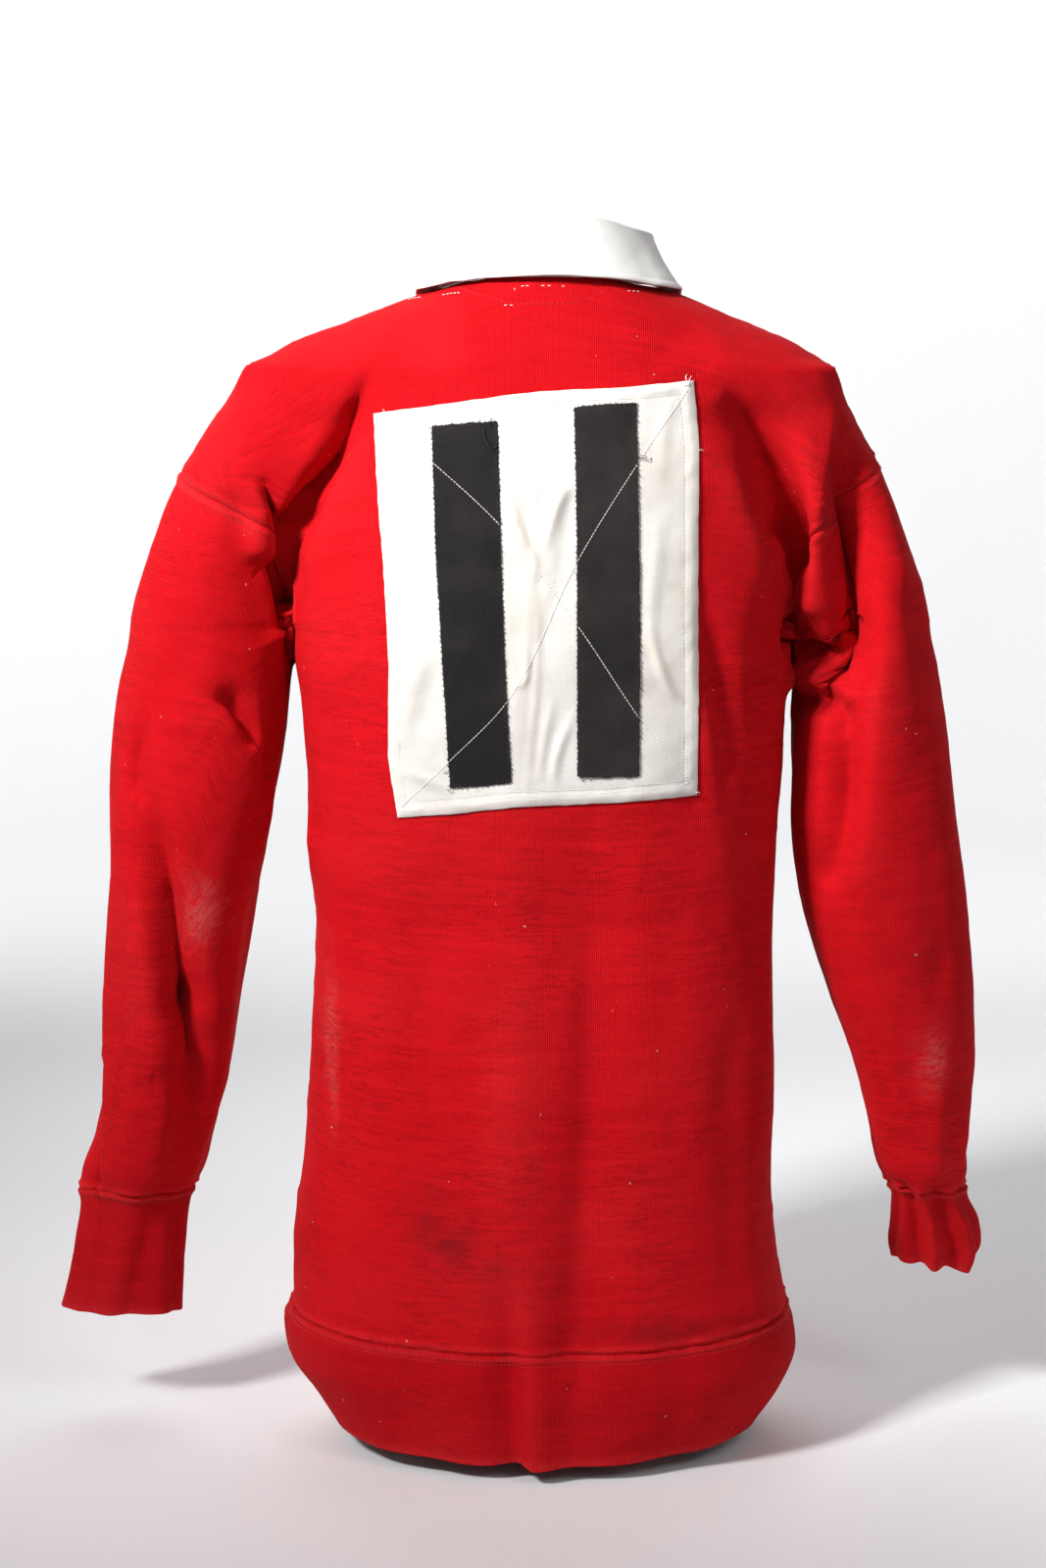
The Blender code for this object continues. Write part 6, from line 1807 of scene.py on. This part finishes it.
# ---------------------------------------------------------------- placket and buttons
front_tree = tree_of(final["front"])
front_neck = float(grids["front"][-1, FRONT_SIDE_COLS, 2])
w = PLACKET_W / 2
rows, cols = 90, 24
xz = sheet_between(
    ((-w, front_neck - .004), (0, front_neck - .0042), (w, front_neck - .004)),
    ((-w, PLACKET_END), (0, PLACKET_END - .0004), (w, PLACKET_END)),
    ((-w, front_neck - .004), (-w - .0003, -.14), (-w, PLACKET_END)),
    ((w, front_neck - .004), (w + .0003, -.14), (w, PLACKET_END)), rows, cols,
)
at = np.stack([xz[..., 0], 0 * xz[..., 0], xz[..., 1]], -1)
rim = np.minimum(np.minimum(np.arange(cols + 1), cols - np.arange(cols + 1))[None, :] * 0.00133, np.minimum(np.arange(rows + 1), rows - np.arange(rows + 1))[:, None] * 0.0014)
extra = 0.0005 + 0.0004 * noise(at, 0.018, 41) - 0.0003 * np.exp(-(((rim - 0.0032) / 0.0012) ** 2))
# The fly's overlapping edge stands a little proud down the middle line.
extra = extra + 0.0007 * smooth((xz[..., 0] + 0.001) / 0.0016) * smooth((xz[..., 1] - PLACKET_END - 0.010) / 0.004)
placket_grid, placket_outs = laid_sheet(xz, front_tree, 0.0003, extra, 0.0010, 5, -1)
placket = shell(
    "placket_drill", placket_grid, placket_outs, False, 0.0010, metric_uv(placket_grid, False), (0, 1, 2), drill, ["placket"],
    {"tan": np.clip(0.6 * np.exp(-rim / 0.003) + 0.3 * noise(at, 0.02, 43), 0, 1)},
)
placket_tree = tree_of(placket_grid)
for inset in (0.0032,):
    corners = ((-w + inset, front_neck - .004 - inset), (w - inset, front_neck - .004 - inset), (w - inset, PLACKET_END + inset), (-w + inset, PLACKET_END + inset), (-w + inset, front_neck - .004 - inset))
    for a, b in zip(corners[:-1], corners[1:]):
        path = through_points((a, b), 120)
        p, n = lay(path[:, 0], path[:, 1], placket_tree, -1)
        white_edge.row(p, n, 0.0025, 0.0020, 0.00022, 0.00008)
for a, b in (((-w + .004, PLACKET_END + .012), (w - .004, PLACKET_END + .012)), ((-w + .004, PLACKET_END + .004), (w - .004, PLACKET_END + .012)), ((-w + .004, PLACKET_END + .012), (w - .004, PLACKET_END + .004))):
    path = through_points((a, b), 80)
    p, n = lay(path[:, 0], path[:, 1], placket_tree, -1)
    white_edge.row(p, n, 0.0025, 0.0020, 0.00022, 0.00008)

# Buttons with a rim, a dished face and four holes sewn with a cross of thread.
BUTTON_PROFILE = ((0.80, 0.0), (0.93, 0.04), (0.99, 0.18), (1.0, 0.34), (1.0, 0.60), (0.97, 0.80), (0.90, 0.94), (0.82, 1.0), (0.74, 0.98), (0.66, 0.90), (0.58, 0.80), (0.46, 0.76))
STEPS = 48
for k, z in enumerate(BUTTON_Z):
    line, outs = grids["front"][:, FRONT_SIDE_COLS], normals["front"][:, FRONT_SIDE_COLS]
    p = np.array([np.interp(z, line[:, 2], line[:, c]) for c in range(3)])
    n = unit(np.array([np.interp(z, line[:, 2], outs[:, c]) for c in range(3)]))
    hit, _, _, _ = placket_tree.ray_cast(Vector((0.0, -0.3, z)), Vector((0, 1, 0)))
    n = unit(n * np.array([0.2, 1, 1]))
    centre_p = np.array(hit) + n * 0.0003
    across = unit(np.cross(n, UP))
    high = unit(np.cross(across, n))
    spin = math.radians((14, 52, 33)[k])
    ax, ay = across * math.cos(spin) + high * math.sin(spin), high * math.cos(spin) - across * math.sin(spin)
    verts, faces = [], []
    for r, h in BUTTON_PROFILE:
        for s in range(STEPS):
            a = 2 * math.pi * s / STEPS
            verts.append(centre_p + BUTTON_R * r * (math.cos(a) * ax + math.sin(a) * ay) + n * BUTTON_H * h)
    rings = len(BUTTON_PROFILE)
    for r in range(rings - 1):
        for s in range(STEPS):
            a, b = r * STEPS + s, r * STEPS + (s + 1) % STEPS
            faces.append((a, b, b + STEPS, a + STEPS))
    # Inside the last ring: a plate with four round holes, front and back, joined by the holes' walls.
    hole_r, hole_at, hole_steps = BUTTON_R * 0.115, BUTTON_R * 0.20, 12
    inner_r = BUTTON_R * BUTTON_PROFILE[-1][0]

    def flat_plate(height, up):
        """Indices of the four hole rings at a height."""
        rings_made = []
        start = len(verts)
        for q in range(4):
            ang = math.pi / 4 + q * math.pi / 2
            cx, cy = hole_at * math.cos(ang) * 1.41, hole_at * math.sin(ang) * 1.41
            ring = []
            for s in range(hole_steps):
                a = 2 * math.pi * s / hole_steps
                verts.append(centre_p + (cx + hole_r * math.cos(a)) * ax + (cy + hole_r * math.sin(a)) * ay + n * height)
                ring.append(len(verts) - 1)
            rings_made.append(ring)
        return rings_made

    outer_top = [(rings - 1) * STEPS + s for s in range(STEPS)]
    top_holes = flat_plate(BUTTON_H * BUTTON_PROFILE[-1][1], True)
    low_holes = flat_plate(BUTTON_H * 0.06, False)
    outer_low = [s for s in range(STEPS)]
    local = []
    for v in verts:
        d = np.asarray(v) - centre_p
        local.append((d @ ax, d @ ay))

    def fill(outer, holes, up):
        """Triangles of a disc with holes, by Blender's own filling of loops."""
        bm = bmesh.new()
        made = {}
        for index in outer + [i for ring in holes for i in ring]:
            made[index] = bm.verts.new((local[index][0], local[index][1], 0))
        back_index = {v: i for i, v in made.items()}
        edges = []
        for ring in [outer] + holes:
            for a, b in zip(ring, ring[1:] + ring[:1]):
                edges.append(bm.edges.new((made[a], made[b])))
        bmesh.ops.triangle_fill(bm, use_beauty=True, use_dissolve=False, edges=edges, normal=(0, 0, 1))
        for f in bm.faces:
            ids = [back_index[v] for v in f.verts]
            a, b, c = (Vector((*local[i], 0)) for i in ids)
            if ((b - a).cross(c - a)).z * (1 if up else -1) < 0:
                ids = ids[::-1]
            faces.append(tuple(ids))
        bm.free()

    fill(outer_top, top_holes, True)
    fill(outer_low, low_holes, False)
    for t, l in zip(top_holes, low_holes):
        for s in range(hole_steps):
            m = (s + 1) % hole_steps
            faces.append((t[s], t[m], l[m], l[s]))
    button = plain_mesh("button_%d_rubber" % (k + 1), np.array(verts), faces, rubber, ["button_%d" % (k + 1)])
    # Thread through the holes.
    level = centre_p + n * BUTTON_H * 0.82
    spots = []
    for q in range(4):
        ang = math.pi / 4 + q * math.pi / 2
        spots.append(hole_at * 1.41 * (math.cos(ang) * ax + math.sin(ang) * ay))
    for a, b in ((0, 2), (1, 3)):
        for shift in (-0.00022, 0.00022):
            s = shift * unit(np.cross(spots[b] - spots[a], n))
            white_edge.one(level + spots[a] * 1.15 + s, level + spots[b] * 1.15 + s, n, 0.00024, 0.00018, 0.0009)
white_edge.piece("stitches_collar", white_thread, "drill")

# ---------------------------------------------------------------- floor, light and background
def paper(name, profile, steps, colour, roughness):
    """A round sweep of pale paper: flat, then rising to a wall all round."""
    verts, faces = [], []
    for r, z in profile:
        for s in range(steps):
            a = 2 * math.pi * s / steps
            verts.append((r * math.cos(a), r * math.sin(a), z))
    for k in range(len(profile) - 1):
        for s in range(steps):
            a, b = k * steps + s, k * steps + (s + 1) % steps
            faces.append((a, b, b + steps, a + steps))
    faces.append(tuple(range(steps)))
    faces = [f[::-1] for f in faces[:-1]] + faces[-1:]
    mesh = bpy.data.meshes.new(name)
    mesh.from_pydata(verts, [], faces)
    mesh.shade_smooth()
    s = Shade(name)
    grain = s.noise(s.where(), 90.0, 3.0, 0.6)
    s.put(s.shader.inputs["Base Color"], s.mix(grain, colour, tuple(c * 1.02 for c in colour[:3]) + (1,)))
    s.put(s.shader.inputs["Roughness"], s.math("MULTIPLY_ADD", grain, 0.1, roughness))
    mesh.materials.append(s.mat)
    obj = bpy.data.objects.new(name, mesh)
    bpy.context.scene.collection.objects.link(obj)
    return obj


FLOOR_Z = cad_box[0][2] - 0.012
rise = [(0.4, 0.0), (1.5, 0.0), (3.0, 0.0)]
rise += [(3.0 + 1.8 * math.sin(a), 1.8 * (1 - math.cos(a))) for a in np.linspace(0.12, math.pi / 2, 12)]
rise += [(4.8, 3.0), (4.8, 5.0)]
floor = paper("floor", [(r, FLOOR_Z + z) for r, z in rise], 96, (0.80, 0.80, 0.81, 1), 0.8)


def area_light(name, place, target, size, power, spread=180.0, colour=(1, 1, 1)):
    data = bpy.data.lights.new(name, "AREA")
    data.shape = "RECTANGLE"
    data.size, data.size_y = size
    data.energy = power
    data.color = colour
    data.spread = math.radians(spread)
    obj = bpy.data.objects.new(name, data)
    obj.location = place
    obj.rotation_euler = (Vector(target) - Vector(place)).to_track_quat("-Z", "Y").to_euler()
    bpy.context.scene.collection.objects.link(obj)
    return obj


area_light("key", (1.50, 1.50, 1.18), (0.06, 0.02, -0.01), (0.42, 0.45), 9.2, 48)
area_light("fill", (-1.4, 1.9, 1.4), (-0.15, 0.0, 0.0), (1.2, 1.2), 3.7, 80)
area_light("floor_light", (0.3, -1.3, 1.2), (0.0, -0.5, -0.81), (2.4, 1.2), 9.5, 130)
area_light("wall_left", (1.6, -0.9, 1.4), (1.2, -4.6, 1.4), (1.6, 1.6), 86, 150)
area_light("wall_right", (-1.6, -0.9, 1.4), (-1.2, -4.6, 1.4), (1.6, 1.6), 56, 150)
world = bpy.data.worlds.new("pale")
bpy.context.scene.world = world
world.use_nodes = True
back_node = world.node_tree.nodes["Background"]
back_node.inputs["Color"].default_value = (0.93, 0.95, 1.0, 1)
back_node.inputs["Strength"].default_value = 0.10
bpy.context.scene.view_settings.view_transform = "Standard"
bpy.context.scene.view_settings.look = "None"
